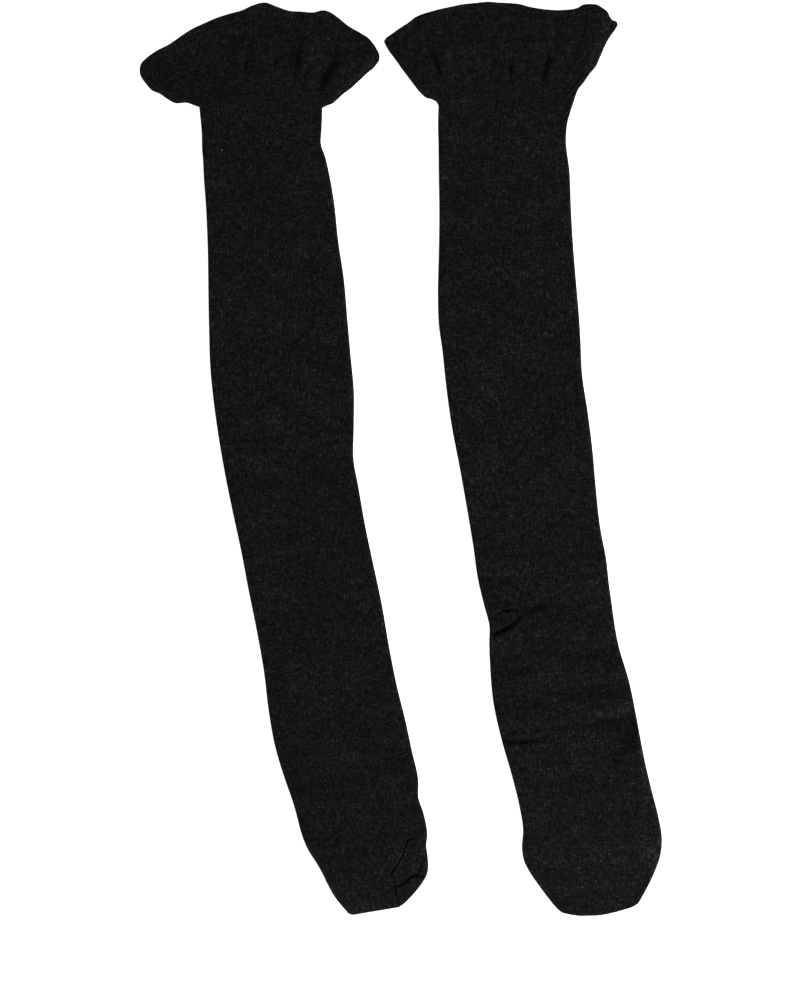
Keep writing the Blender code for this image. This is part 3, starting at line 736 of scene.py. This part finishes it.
def back_lift(sock, x, y, across, down, side):
    """How far the flat back ripples up off the floor."""
    along = np.clip(-down / RUFFLE_LENGTH, 0.0, 1.0)
    ripples = BACK_LIFT * along * wave(BACK_RIPPLES, across)
    waves = unevenness(BACK_WAVE_SIZE * x, BACK_WAVE_SIZE * y, sock.seed + 1)
    return (ripples + BACK_WAVE_SHARE * np.clip(waves, 0.0, HIGHEST_BACK_WAVE)) * past_fold(side)


def back_height(sock, x, y, across, down, side):
    """Height of the under side of the back layer."""
    lift = back_lift(sock, x, y, across, down, side)
    return FOLD_LINE - (FOLD_LINE - lift) * fullness(sock, down, side)


def front_height(sock, x, y, across, down, side, wales):
    """Height of the upper side of the front layer."""
    along = np.clip(-down / RUFFLE_LENGTH, 0.0, 1.0)
    tops = column(sock.sections, "top")
    middle_top = smooth(reached(sock.sections), tops, np.maximum(down, 0.0))
    crown = (middle_top - FOLD_TOP) * (1.0 - (2.0 * across - 1.0)**4)
    rise = np.where(down < 0.0, ruffle_rise(across, along, wales), 0.0)
    moved = crown + rise + unevenness(x, y, sock.seed) - crease_depth(sock.creases, x, y)
    top = FOLD_TOP + moved * past_fold(side)
    lowest = LOWEST_TOP + back_lift(sock, x, y, across, down, side)
    top = np.clip(top, lowest, HIGHEST_TOP)
    return FOLD_LINE + (top - FOLD_LINE) * fullness(sock, down, side)


print(f"the front layer lies at least {LOWEST_TOP:.2f} mm and at most {HIGHEST_TOP:.1f} mm high")

# %% [markdown]
# ## One shell for each sock
#
# The sock is knitted in one piece from mouth to toe, so its shell is one mesh too. It is built
# as two layers of rings that share the points of their side folds and of the toe. Each point keeps
# its share across, its distance down and its wale as numbers of its own, and its place on the
# floor is worked out from those at the end.

# %% Rings of a sock
LEG_STEP = 4.0
CREASED_STEP = 2.0
CLOSEST_RINGS = 0.6 * CREASED_STEP
TOE_MARGIN = 0.3 * CREASED_STEP
LEG_TOP = 200.0
RING_SAMPLES = 1200
RUFFLE_RINGS = 34
ROLL_RINGS = (0.0, 0.12, 0.35, 0.8, 1.5, 2.4)
SHORT_TOE_ROWS = 9


def down_near(sock, x, y):
    """How far down the leg the ring lies that passes through a place."""
    down = np.linspace(0.0, reached(sock.sections)[-1], RING_SAMPLES)
    left_x, left_y = leg_place(sock, np.zeros_like(down), down)
    right_x, right_y = leg_place(sock, np.ones_like(down), down)
    above = (right_x - left_x) * (y - left_y) - (right_y - left_y) * (x - left_x)
    return down[np.abs(above).argmin()]


def sock_rings(sock):
    """Distances down the sock of all its rings, from the mouth to the toe."""
    knots = reached(sock.sections)
    toe = knots[-1] - FOLD_DEPTH
    wanted = list(np.arange(0.0, toe, LEG_STEP)) + list(knots[-SHORT_TOE_ROWS:-1])
    for crease in sock.creases:
        if crease.from_y < LEG_TOP:
            ends = (down_near(sock, crease.from_x, crease.from_y),
                    down_near(sock, crease.to_x, crease.to_y))
            first, last = min(ends) - CREASED_STEP, max(ends) + CREASED_STEP
            wanted += list(np.arange(first, last, CREASED_STEP))
    rings = [0.0]
    for ring in sorted(wanted):
        if ring - rings[-1] > CLOSEST_RINGS and toe - ring > TOE_MARGIN:
            rings.append(ring)
    turns = np.linspace(1.0, 0.0, FOLD_STEPS + 1)
    closing = [knots[-1] - FOLD_DEPTH * (1.0 - math.cos(0.5 * math.pi * turn)) for turn in turns]
    plain = np.linspace(RUFFLE_LENGTH - ROLL_RINGS[-1], 0.0, RUFFLE_RINGS)[1:-1]
    ruffle = [-(RUFFLE_LENGTH - ring) for ring in ROLL_RINGS] + [-ring for ring in plain]
    return ruffle + rings + closing


for sock in SOCKS:
    print(sock.side, "sock:", len(sock_rings(sock)), "rings")

# %% Grid of a sock
LAYERS = ("across", "down", "side", "wales", "behind")
FRONT_PARTS = 4


def add_ring(mesh, layers, sock, down, behind, parts):
    """New points for one ring of one layer, with their numbers but no place yet."""
    points = []
    for across, side, wale in zip(*ring_columns(sock, down, parts)):
        point = mesh.verts.new((0.0, 0.0, 0.0))
        for name, number in zip(LAYERS, (across, down, side, wale, behind)):
            point[layers[name]] = number
        points.append(point)
    return points


def sock_grid(sock):
    """The two layers of a sock as one mesh, which share their side folds and the toe."""
    mesh = bmesh.new()
    layers = {name: mesh.verts.layers.float.new(name) for name in LAYERS}
    rings = sock_rings(sock)
    front, back = [], []
    for ring in rings:
        parts = FRONT_PARTS if ring <= 0.0 else 1
        front.append(add_ring(mesh, layers, sock, ring, 0.0, parts))
        behind = add_ring(mesh, layers, sock, ring, 1.0, 1)
        shared = range(len(behind)) if ring == rings[-1] else (0, len(behind) - 1)
        for index in shared:
            mesh.verts.remove(behind[index])
            behind[index] = front[-1][index * parts]
        back.append(behind)
    for grid, facing_up in ((front, True), (back, False)):
        for upper, lower in zip(grid, grid[1:]):
            parts = (len(upper) - 1) // (len(lower) - 1)
            for index in range(len(lower) - 1):
                run = upper[index * parts:(index + 1) * parts + 1]
                corners = [run[0], lower[index], lower[index + 1], *run[:0:-1]]
                mesh.faces.new(corners if facing_up else corners[::-1])
    print(sock.side, "sock:", len(mesh.faces), "faces before the finer cuts")
    return mesh, layers


meshes = {sock.side: sock_grid(sock) for sock in SOCKS}

# %% [markdown]
# ## Finer mesh near the slits
#
# A slit of the knit is 1 to 4 mm wide, and a mesh as coarse as the rings would blur it. A finer
# mesh all over would cost too many faces. So only the longer edges near a slit are cut in two,
# and those that are still too long are cut again.

# %% Finer cuts
NARROW = 2.0
FINE_REACH = 2.2
FINE_SHARE = 0.6
FINE_LEVELS = 2


def wanted_step(creases, x, y):
    """The longest edge that the narrow creases allow at each place."""
    step = np.full_like(x, np.inf)
    for crease in creases:
        if crease.half_width < NARROW:
            close, widths, _, _ = near_crease(crease, x, y, FINE_REACH)
            inside = close[widths < FINE_REACH]
            step[inside] = np.minimum(step[inside], FINE_SHARE * crease.half_width)
    return step


def refine(sock, mesh, layers):
    """Cut the longer edges near each narrow crease, on the front layer."""
    for _ in range(FINE_LEVELS):
        mesh.verts.index_update()
        across = np.array([point[layers["across"]] for point in mesh.verts])
        down = np.array([point[layers["down"]] for point in mesh.verts])
        x, y = cloth_place(sock, across, down)
        wanted = wanted_step(sock.creases, x, y)
        edges = set()
        for face in mesh.faces:
            if all(point[layers["behind"]] < 0.5 for point in face.verts):
                finest = min(wanted[point.index] for point in face.verts)
                for edge in face.edges:
                    start, end = (point.index for point in edge.verts)
                    if math.hypot(x[start] - x[end], y[start] - y[end]) > finest:
                        edges.add(edge)
        bmesh.ops.subdivide_edges(mesh, edges=list(edges), cuts=1, use_grid_fill=True)
    print(sock.side, "sock:", len(mesh.faces), "faces after the finer cuts")


for sock in SOCKS:
    refine(sock, *meshes[sock.side])

# %% [markdown]
# ## Numbers on the mesh for the knit
#
# A finish can read numbers that lie on the mesh. A UV map named stitches counts the wales round
# the sock and the courses, its rows of stitches, down it. A number for each point says how pale or
# dark the knit is painted there: the patches, which hold the knit's own uneven grey and also painted
# shade and painted light, and the painted shade of the slits, where little light gets in. The ruffle
# and the leg are knitted at different gauges, so each has a material.

# %% Tone of the cloth
# The slits are painted darker as painted shade, by so much for each millimetre of their depth.
SLIT_DEPTH = 1.0
SLIT_REACH = 4.0
SLIT_DARKNESS = 0.27
DARKEST_SLIT = 0.75
DARK_SHARPNESS = 0.8


def tone_and_shade_at(sock, x, y, front):
    """How pale or dark the surface is painted at each place: the patches, and painted shade in the
    slits.
    """
    tone = np.full_like(x, sock.shade)
    for patch in sock.patches:
        away = ((x - patch.x) / patch.reach_x)**2 + ((y - patch.y) / patch.reach_y)**2
        tone += patch.tone * np.exp(-away)
    for crease in sock.creases:
        if crease.half_width < NARROW and crease.depth > SLIT_DEPTH:
            close, widths, _, strength = near_crease(crease, x, y, SLIT_REACH)
            darkness = min(SLIT_DARKNESS * crease.depth, DARKEST_SLIT)
            tone[close] *= 1.0 - darkness * strength * np.exp(-(DARK_SHARPNESS * widths)**2)
    return np.where(front, tone, sock.shade)


for sock in SOCKS:
    tones = tone_and_shade_at(sock, column(sock.patches, "x"), column(sock.patches, "y"), True)
    print(f"{sock.side} patches: tone {tones.min():.2f} to {tones.max():.2f}")

# %% Stitch counts
COURSE = 1.0
RUFFLE_COURSE = 1.5
# A face is part of the ruffle when none of its corners lies further down than this.
RUFFLE_END = 1e-6


def read_numbers(data):
    """Take the points' numbers off the mesh, as arrays by name."""
    numbers = {}
    for name in LAYERS:
        values = np.empty(len(data.vertices), dtype=np.float32)
        data.attributes[name].data.foreach_get("value", values)
        numbers[name] = values.astype(float)
        data.attributes.remove(data.attributes[name])
    return numbers


def add_numbers(data, name, values):
    """Lay one named number on each point of a mesh, for its material to read."""
    layer = data.attributes.new(name, "FLOAT", "POINT")
    layer.data.foreach_set("value", values.astype(np.float32))


def count_stitches(data, down, wales, behind):
    """A UV map that counts wales and courses, and a material for each part."""
    corners = np.empty(len(data.loops), dtype=np.int32)
    data.loops.foreach_get("vertex_index", corners)
    counts = np.empty(len(data.polygons), dtype=np.int32)
    data.polygons.foreach_get("loop_total", counts)
    face_of = np.repeat(np.arange(len(counts)), counts)
    face_behind = np.zeros(len(counts))
    np.maximum.at(face_behind, face_of, behind[corners])
    face_down = np.full(len(counts), -RUFFLE_LENGTH)
    np.maximum.at(face_down, face_of, down[corners])
    u = np.where(face_behind[face_of] > 0.5, 2.0 * FACE_WALES - wales[corners], wales[corners])
    v = np.where(down > 0.0, down / COURSE, down / RUFFLE_COURSE)[corners]
    stitches = data.uv_layers.new(name="stitches")
    stitches.data.foreach_set("uv", np.stack((u, v), axis=1).ravel().astype(np.float32))
    data.polygons.foreach_set("material_index", (face_down < RUFFLE_END).astype(np.int32))
    print(data.name, "has", round(v.max() - v.min()), "courses of", FACE_WALES, "wales a face")


# %% Shell of a sock
def sock_shell(sock):
    """The finished mesh of a sock: places, stitch counts, materials by part, and tone."""
    mesh, _ = meshes[sock.side]
    data = bpy.data.meshes.new(f"{sock.side}_sock_knit")
    mesh.to_mesh(data)
    mesh.free()
    numbers = read_numbers(data)
    across, down, side, wales, behind = (numbers[name] for name in LAYERS)
    x, y = cloth_place(sock, across, down)
    front = front_height(sock, x, y, across, down, side, wales)
    back = back_height(sock, x, y, across, down, side)
    z = np.where(behind > 0.5, back, front)
    data.vertices.foreach_set("co", np.stack((x, y, z), axis=1).ravel() * MILLIMETRE)
    count_stitches(data, down, wales, behind)
    add_numbers(data, "tone", tone_and_shade_at(sock, x, y, behind < 0.5))
    data.update()
    data.shade_smooth()
    return data


shell_meshes = {sock.side: sock_shell(sock) for sock in SOCKS}

# %% [markdown]
# ## Shader maths as expressions
#
# A knitted finish is mostly arithmetic on the stitch count. A small class wraps a node's output,
# so that an expression such as `1 - mask` adds the Math nodes by itself.

# %% Shader helper
class Wire:
    """An output of a shader node. Arithmetic on it adds Math nodes to the same material."""

    def __init__(self, tree, socket=None):
        self.tree = tree
        self.socket = socket

    def feed(self, node, inputs):
        """Give a node's sockets their values or links."""
        for name, value in inputs.items():
            if isinstance(value, Wire):
                self.tree.links.new(value.socket, node.inputs[name])
            else:
                node.inputs[name].default_value = value

    def node(self, kind, settings=None, inputs=None, output=0):
        """Add a node: first its settings, then the values or links of its sockets."""
        made = self.tree.nodes.new(kind)
        for name, value in (settings or {}).items():
            setattr(made, name, value)
        self.feed(made, inputs or {})
        return Wire(self.tree, made.outputs[output])

    def math(self, operation, *others, swapped=False):
        """A Math node on this value and up to two others."""
        values = [self, *others]
        if swapped:
            values.reverse()
        return self.node("ShaderNodeMath", {"operation": operation}, dict(enumerate(values)))

    def __add__(self, other):
        return self.math("ADD", other)

    def __sub__(self, other):
        return self.math("SUBTRACT", other)

    def __rsub__(self, other):
        return self.math("SUBTRACT", other, swapped=True)

    def __mul__(self, other):
        return self.math("MULTIPLY", other)

    def __pow__(self, other):
        return self.math("POWER", other)

    def __rpow__(self, other):
        return self.math("POWER", other, swapped=True)

    __radd__ = __add__
    __rmul__ = __mul__


def new_finish(name):
    """A new material, its surface shader, and a wire to start its maths from."""
    material = bpy.data.materials.new(name)
    material.use_nodes = True
    tree = material.node_tree
    return material, tree.nodes["Principled BSDF"], Wire(tree)


print("a wire can:", [name for name in vars(Wire) if not name.startswith("__")])

# %% [markdown]
# ## The knitted finish
#
# Plain knit shows columns of small V shapes. In each wale the yarn runs down one leg of the V and
# up the other, and each course bends over the one below. The height of the yarn comes from two
# sine ridges, one across a leg of the V and one along the course. The same ridges also darken the
# colour in the gaps between the yarn and in the grooves between wales, as painted shade. The yarn
# is a marl: dark wool spun with a few paler fibres, so each stitch has its own grey, and the greys
# gather in flecks and clouds of several sizes. Powers of two keep the greys positive and give the
# pale ones a longer tail than the dark ones, as wool has.

# %% Relief of the stitches
V_SLANT = 0.55
V_LEGS = 2.0
YARN_FULLNESS = 0.7
GROOVE_SHARPNESS = 2.5


def ridge(share):
    """A rounded ridge of yarn: nothing where the share is 0 or 1, and full in the middle."""
    return (share * math.pi).math("SINE").math("MAXIMUM", 0.0) ** YARN_FULLNESS


def knit_stitch(start):
    """The wale and course at each place, the yarn's relief, and the grooves between wales."""
    counts = start.node("ShaderNodeUVMap", {"uv_map": "stitches"})
    wale, course = (start.node("ShaderNodeSeparateXYZ", None, {0: counts}, axis) for axis in (0, 1))
    off_middle = (wale.math("FRACT") * 2.0 - 1.0).math("ABSOLUTE")
    bent = course + off_middle * V_SLANT
    yarn = ridge(off_middle) * ridge(bent.math("FRACT"))
    return wale, bent, yarn, off_middle ** GROOVE_SHARPNESS


print("a V is", V_SLANT, "of a course deep")

# %% Noises of the marl
FLECK_SCALE = 640.0
HAIR_SCALE = 300.0
HAIR_SHARPNESS = 30.0
CLUMP_SCALE = 150.0
CLUMP_STRETCH = (0.7, 1.6, 1.0)
CLOUD_SCALE = 45.0
CLOUD_STRETCH = (0.6, 1.6, 1.0)


def mottle(place, scale, detail, roughness, stretch=(1.0, 1.0, 1.0)):
    """Noise of one size, centred on nothing, and longer one way where it is stretched."""
    vector = place.node("ShaderNodeVectorMath", {"operation": "MULTIPLY"}, {0: place, 1: stretch})
    noise = place.node("ShaderNodeTexNoise", None, {"Vector": vector, "Scale": scale,
                                                    "Detail": detail, "Roughness": roughness})
    return noise - 0.5


def streaks(wale, bent, per_wale, per_course):
    """Noise that follows the stitches, long down the wales or along the courses."""
    vector = wale.node("ShaderNodeCombineXYZ", None, {0: wale * per_wale, 1: bent * per_course})
    noise = wale.node("ShaderNodeTexNoise", {"noise_dimensions": "2D"},
                      {"Vector": vector, "Scale": 1.0, "Detail": 1.0, "Roughness": 0.6})
    return noise - 0.5


def hairs(place):
    """Thin curved lines, where a wandering noise goes through its middle value."""
    wander = place.node("ShaderNodeTexNoise", None,
                        {"Vector": place, "Scale": HAIR_SCALE, "Detail": 1.0, "Distortion": 0.6})
    return (1.0 - ((wander - 0.5) * HAIR_SHARPNESS).math("ABSOLUTE")).math("MAXIMUM", 0.0)


for name, scale in (("fleck", FLECK_SCALE), ("clump", CLUMP_SCALE), ("cloud", CLOUD_SCALE)):
    print(f"a {name} is about {1.0 / (scale * MILLIMETRE):.1f} mm wide")

# %% Knit material
Knit = namedtuple("Knit", "name grey groove streak_scale streak_contrast")

FLECK_CONTRAST = 4.7
COURSE_CONTRAST = 2.6
CLUMP_CONTRAST = 1.3
CLOUD_CONTRAST = 1.5
STREAK_ACROSS = 0.9
STREAK_ALONG = 0.22
COURSE_ACROSS = 0.8
# YARN_SHADE and WALE_SHADE set how far the colour is darkened, as painted shade, in the gaps of the
# yarn and between wales.
YARN_SHADE = 0.62
WALE_SHADE = 1.15
HAIR_PALENESS = 0.35
TINT = (1.0, 1.01, 1.0)
YARN_HEIGHT = 0.8
FLECK_HEIGHT = 0.8
HAIR_HEIGHT = 0.5
BUMP_HEIGHT = 0.35 * MILLIMETRE


def knit_finish(knit):
    """Charcoal marl knit: V stitches, uneven greys at every scale, painted shade in the stitch gaps,
    the patches and the slits, and a dull surface.
    """
    material, shader, start = new_finish(knit.name)
    wale, bent, yarn, between_wales = knit_stitch(start)
    stitch = start.node("ShaderNodeCombineXYZ", None,
                        {0: (wale * V_LEGS).math("FLOOR"), 1: bent.math("FLOOR")})
    own_grey = start.node("ShaderNodeTexWhiteNoise", {"noise_dimensions": "2D"}, {"Vector": stitch})

    place = start.node("ShaderNodeTexCoord", None, None, "Object")
    flecks = mottle(place, FLECK_SCALE, 1.0, 0.8)
    along = STREAK_ALONG * knit.streak_scale
    down_wales = streaks(wale, bent, STREAK_ACROSS * knit.streak_scale, along)
    along_courses = streaks(wale, bent, along, COURSE_ACROSS)
    clumps = mottle(place, CLUMP_SCALE, 1.0, 0.6, CLUMP_STRETCH)
    clouds = mottle(place, CLOUD_SCALE, 2.0, 0.5, CLOUD_STRETCH)
    hair = hairs(place)

    fine = (own_grey - 0.5 + flecks * FLECK_CONTRAST + down_wales * knit.streak_contrast
            + along_courses * COURSE_CONTRAST)
    greys = 2.0 ** (fine + clumps * CLUMP_CONTRAST + clouds * CLOUD_CONTRAST)
    # The painted shade and light of the patches and the painted shade of the slits, read from the
    # mesh.
    painted_tone_and_shade = start.node("ShaderNodeAttribute", {"attribute_name": "tone"}, None, "Fac")
    # Painted shade: the colour is darker in the gaps between the yarn and in the grooves between
    # wales.
    relief = (YARN_SHADE + yarn * YARN_SHADE) * (WALE_SHADE - between_wales * knit.groove)
    tone = greys * relief * painted_tone_and_shade + hair * HAIR_PALENESS
    colour = start.node("ShaderNodeVectorMath", {"operation": "SCALE"},
                        {0: tuple(knit.grey * part for part in TINT), "Scale": tone})
    height = (yarn * YARN_HEIGHT + flecks * FLECK_HEIGHT + hair * HAIR_HEIGHT
              - between_wales * knit.groove)
    bump = start.node("ShaderNodeBump", None,
                      {"Height": height, "Strength": 0.8, "Distance": BUMP_HEIGHT})
    start.feed(shader, {"Base Color": colour, "Normal": bump, "Roughness": 0.9 + flecks * 0.2,
                        "Specular IOR Level": 0.03, "Sheen Weight": 0.01, "Sheen Roughness": 0.6})
    print(knit.name, "has", len(material.node_tree.nodes), "nodes")
    return material


LEG_KNIT = knit_finish(Knit("leg_knit", 0.0054, 0.2, 1.0, 3.2))
RUFFLE_KNIT = knit_finish(Knit("ruffle_knit", 0.0050, 0.4, 1.6, 2.4))

# %% Make the two shells
shells = {}
for sock in SOCKS:
    data = shell_meshes[sock.side]
    data.materials.append(LEG_KNIT)
    data.materials.append(RUFFLE_KNIT)
    shell = add_object(data.name, data)
    wall = shell.modifiers.new("wall", "SOLIDIFY")
    wall.thickness = WALL * MILLIMETRE
    wall.offset = -1.0
    shells[sock.side] = shell
    print(f"{shell.name}: {len(data.polygons)} faces, with a wall of {WALL} mm")

# %% [markdown]
# ## Loose fibres and lint
#
# Wool sheds. Short fibres lie over the knit in every direction, paler than the yarn because light
# passes through them, and here and there a speck of lint or a longer curl has caught. A few pale
# fibres from the tables lie along lit fold edges, a crease lip and a ridge, as painted highlights.
# Each is a thin tapered tube with three sides. Its points are dropped on to the cloth from above, so
# it follows the creases, and one that would hang over the edge is left out.

# %% Strewn fibres
STREWN = 3600
HALF_LEG = 45.0
FIBRE_LENGTHS = (1.4, 5.5)
FIBRE_BEND = 70.0
FIBRE_RADII = (0.03, 0.05)
PALENESS = 0.022
PALENESS_SPREAD = 0.6
PALEST = 0.06


def strewn_fibres(sock, random):
    """Short fibres at random places round a sock, most of them dull and a few of them pale."""
    mouth_x, sections_x = column(sock.ruffle.mouth, "x"), column(sock.sections, "x")
    low_x = min(mouth_x.min(), sections_x.min() - HALF_LEG)
    high_x = max(mouth_x.max(), sections_x.max() + HALF_LEG)
    top_y = column(sock.ruffle.mouth, "y").max()
    rows = zip(random.uniform(low_x, high_x, STREWN),
               random.uniform(sock.sections[-1].y, top_y, STREWN),
               random.uniform(0.0, 360.0, STREWN),
               random.uniform(*FIBRE_LENGTHS, STREWN),
               random.normal(0.0, FIBRE_BEND, STREWN),
               random.uniform(*FIBRE_RADII, STREWN),
               np.minimum(PALENESS * np.exp(random.normal(0.0, PALENESS_SPREAD, STREWN)), PALEST))
    return table(Fibre, *rows)


fibre_random = {sock.side: np.random.default_rng(sock.seed + 20) for sock in SOCKS}
fibres = {sock.side: strewn_fibres(sock, fibre_random[sock.side]) + sock.lint for sock in SOCKS}
print({side: len(rows) for side, rows in fibres.items()}, "fibres before they are dropped")

# %% Lines on the cloth
FIBRE_POINTS = 5
ABOVE_ALL = 0.02


def fibre_line(rows):
    """Where each fibre's points lie on the floor, along its gently bent line."""
    share = np.linspace(0.0, 1.0, FIBRE_POINTS)
    turn = np.radians(column(rows, "heading")[:, None] + column(rows, "bend")[:, None] * share)
    step = column(rows, "length")[:, None] / (FIBRE_POINTS - 1)
    x = column(rows, "x")[:, None] + step * (np.cumsum(np.cos(turn), axis=1) - np.cos(turn))
    y = column(rows, "y")[:, None] + step * (np.cumsum(np.sin(turn), axis=1) - np.sin(turn))
    return x, y


def drop_on(data, x, y):
    """The height of the cloth under each place, and no number where there is none."""
    corners = [point.co for point in data.vertices]
    tree = BVHTree.FromPolygons(corners, [tuple(face.vertices) for face in data.polygons])
    height = np.full(x.shape, np.nan)
    for place in np.ndindex(x.shape):
        above = (x[place] * MILLIMETRE, y[place] * MILLIMETRE, ABOVE_ALL)
        hit = tree.ray_cast(above, (0.0, 0.0, -1.0))[0]
        if hit is not None:
            height[place] = hit.z / MILLIMETRE
    return height


fibre_lines = {}
for sock in SOCKS:
    line_x, line_y = fibre_line(fibres[sock.side])
    height = drop_on(shell_meshes[sock.side], line_x, line_y)
    fibre_lines[sock.side] = (line_x, line_y, height)
    print(sock.side, "sock:", np.isfinite(height).all(axis=1).sum(), "fibres lie wholly on it")

# %% Fibre meshes
TAPER = np.array((0.35, 0.9, 1.0, 0.85, 0.3))
FIBRE_TURNS = (90.0, 210.0, 330.0)


def fibre_faces(count):
    """The faces of so many tubes: the sides ring by ring, and a cap at each end."""
    sides = len(FIBRE_TURNS)
    size = sides * FIBRE_POINTS
    tube = [tuple(range(sides)), tuple(range(size - 1, size - 1 - sides, -1))]
    for ring in range(0, size - sides, sides):
        for side in range(sides):
            beside = (side + 1) % sides
            tube.append((ring + beside, ring + side, ring + sides + side, ring + sides + beside))
    return [tuple(first + corner for corner in face)
            for first in range(0, count * size, size) for face in tube]


def fibre_mesh(name, x, y, z, radius, paleness):
    """Thin three-sided tubes along the given lines, with each one's paleness on its points."""
    centre = np.stack((x, y, z), axis=2)
    ahead = np.gradient(centre, axis=1)
    aside = np.cross(ahead, (0.0, 0.0, 1.0))
    aside /= np.linalg.norm(aside, axis=2, keepdims=True)
    up = np.cross(aside, ahead)
    up /= np.linalg.norm(up, axis=2, keepdims=True)
    rings = []
    for turn in np.radians(FIBRE_TURNS):
        outward = math.cos(turn) * aside + math.sin(turn) * up
        rings.append(centre + (radius[:, None] * TAPER)[:, :, None] * outward)
    points = np.stack(rings, axis=2).reshape(-1, 3) * MILLIMETRE
    data = bpy.data.meshes.new(name)
    data.from_pydata(points.tolist(), [], fibre_faces(len(x)))
    add_numbers(data, "paleness", np.repeat(paleness, FIBRE_POINTS * len(FIBRE_TURNS)))
    data.shade_smooth()
    return data


print("a fibre has", len(fibre_faces(1)), "faces")

# %% Fibre material
def fibre_finish(name):
    """Pale wool: each fibre has its own grey, which wanders a little along it."""
    material, shader, start = new_finish(name)
    paleness = start.node("ShaderNodeAttribute", {"attribute_name": "paleness"}, None, "Fac")
    place = start.node("ShaderNodeTexCoord", None, None, "Object")
    noise = start.node("ShaderNodeTexNoise", None, {"Vector": place, "Scale": 900.0})
    colour = start.node("ShaderNodeVectorMath", {"operation": "SCALE"},
                        {0: (1.0, 1.0, 0.98), "Scale": paleness * (0.5 + noise)})
    start.feed(shader, {"Base Color": colour, "Roughness": 0.85, "Specular IOR Level": 0.1})
    print(name, "has", len(material.node_tree.nodes), "nodes")
    return material


LOOSE_FIBRE = fibre_finish("loose_fibre")

# %% Strew the fibres
ARCH = 0.3
THIN = 0.06

fuzz_and_highlights = {}
for sock in SOCKS:
    rows = fibres[sock.side]
    line_x, line_y, height = fibre_lines[sock.side]
    radius, paleness = column(rows, "radius"), column(rows, "paleness")
    arch = ARCH * fibre_random[sock.side].uniform(0.0, 1.0, len(rows)) * (radius < THIN)
    bowed = arch[:, None] * np.sin(np.linspace(0.0, math.pi, FIBRE_POINTS))
    line_z = height + 0.5 * radius[:, None] + bowed
    whole = np.isfinite(height).all(axis=1)
    above_leg = line_y[:, 0] > sock.sections[0].y
    for part, chosen in (("leg", whole & ~above_leg), ("ruffle", whole & above_leg)):
        data = fibre_mesh(f"{sock.side}_{part}_fuzz", line_x[chosen], line_y[chosen],
                          line_z[chosen], radius[chosen], paleness[chosen])
        data.materials.append(LOOSE_FIBRE)
        fuzz_and_highlights[sock.side, part] = add_object(data.name, data)
        print(data.name, chosen.sum(), "fibres")

# %% [markdown]
# ## The paper and the light
#
# The pair lies on plain white paper, which goes far past the picture so that slanted views see no
# edge of it. Dark wool needs much light, and the paper must stay white without a grey shadow round
# the socks, so it also glows a little. One large soft lamp stands low to the lower right, so the
# creases catch light on one side and fall dark on the other, and a pale world fills the rest.

# %% Paper
FLOOR_REACH = 40.0
FLOOR_DROP = 0.2 * MILLIMETRE
WHITE = (1.0, 1.0, 1.0, 1.0)

floor_mesh = bmesh.new()
bmesh.ops.create_grid(floor_mesh, x_segments=1, y_segments=1, size=FLOOR_REACH)
floor_data = bpy.data.meshes.new("floor")
floor_mesh.to_mesh(floor_data)
floor_mesh.free()
floor = add_object("floor", floor_data)
floor.location.z = -FLOOR_DROP
paper, paper_shader, start = new_finish("paper")
start.feed(paper_shader, {"Base Color": (0.9, 0.9, 0.9, 1.0), "Roughness": 0.9,
                          "Specular IOR Level": 0.1, "Emission Color": WHITE,
                          "Emission Strength": 0.8})
floor_data.materials.append(paper)
print("the paper is", 2.0 * FLOOR_REACH, "m wide")

# %% Light
LAMP_PLACE = (2.4, -2.3, 2.2)
LAMP_SIZE = (1.4, 1.0)
LAMP_POWER = 175.0
WORLD_STRENGTH = 0.6

world = bpy.data.worlds.new("studio")
world.use_nodes = True
Wire(world.node_tree).feed(world.node_tree.nodes["Background"],
                           {"Color": WHITE, "Strength": WORLD_STRENGTH})
bpy.context.scene.world = world

lamp_data = bpy.data.lights.new("softbox", "AREA")
lamp_data.shape = "RECTANGLE"
lamp_data.size, lamp_data.size_y = LAMP_SIZE
lamp_data.energy = LAMP_POWER
lamp = add_object("softbox", lamp_data)
lamp.location = LAMP_PLACE
lamp.rotation_mode = "QUATERNION"
lamp.rotation_quaternion = (-lamp.location).to_track_quat("-Z", "Y")
bpy.context.scene.view_settings.view_transform = "Standard"
print(f"the lamp is {lamp.location.length:.2f} m away and gives {LAMP_POWER:.0f} W")

# %% [markdown]
# ## Tie the pieces to the frame
# The frame holds the plain solids of the packed model, and each piece says two things: which body
# it moves with (here all are on the root, because cloth has no joint), and which solids it is shown
# instead of. The shells are sheets of cloth laid on the floor: 0.376 m is the cut all round the
# wider of the two open mouths, and 0.602 m the length from mouth to toe. Both socks of a pair are
# cut alike.

# %% Pieces
for sock in SOCKS:
    shell = shells[sock.side]
    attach(shell, "root")
    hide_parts(f"{sock.side}_leg", f"{sock.side}_ruffle")
    for part in ("leg", "ruffle"):
        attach(fuzz_and_highlights[sock.side, part], "root")
        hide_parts(f"{sock.side}_{part}")
    print("tied the", sock.side, "sock to the frame")

# %% [markdown]
# ## Finish
#
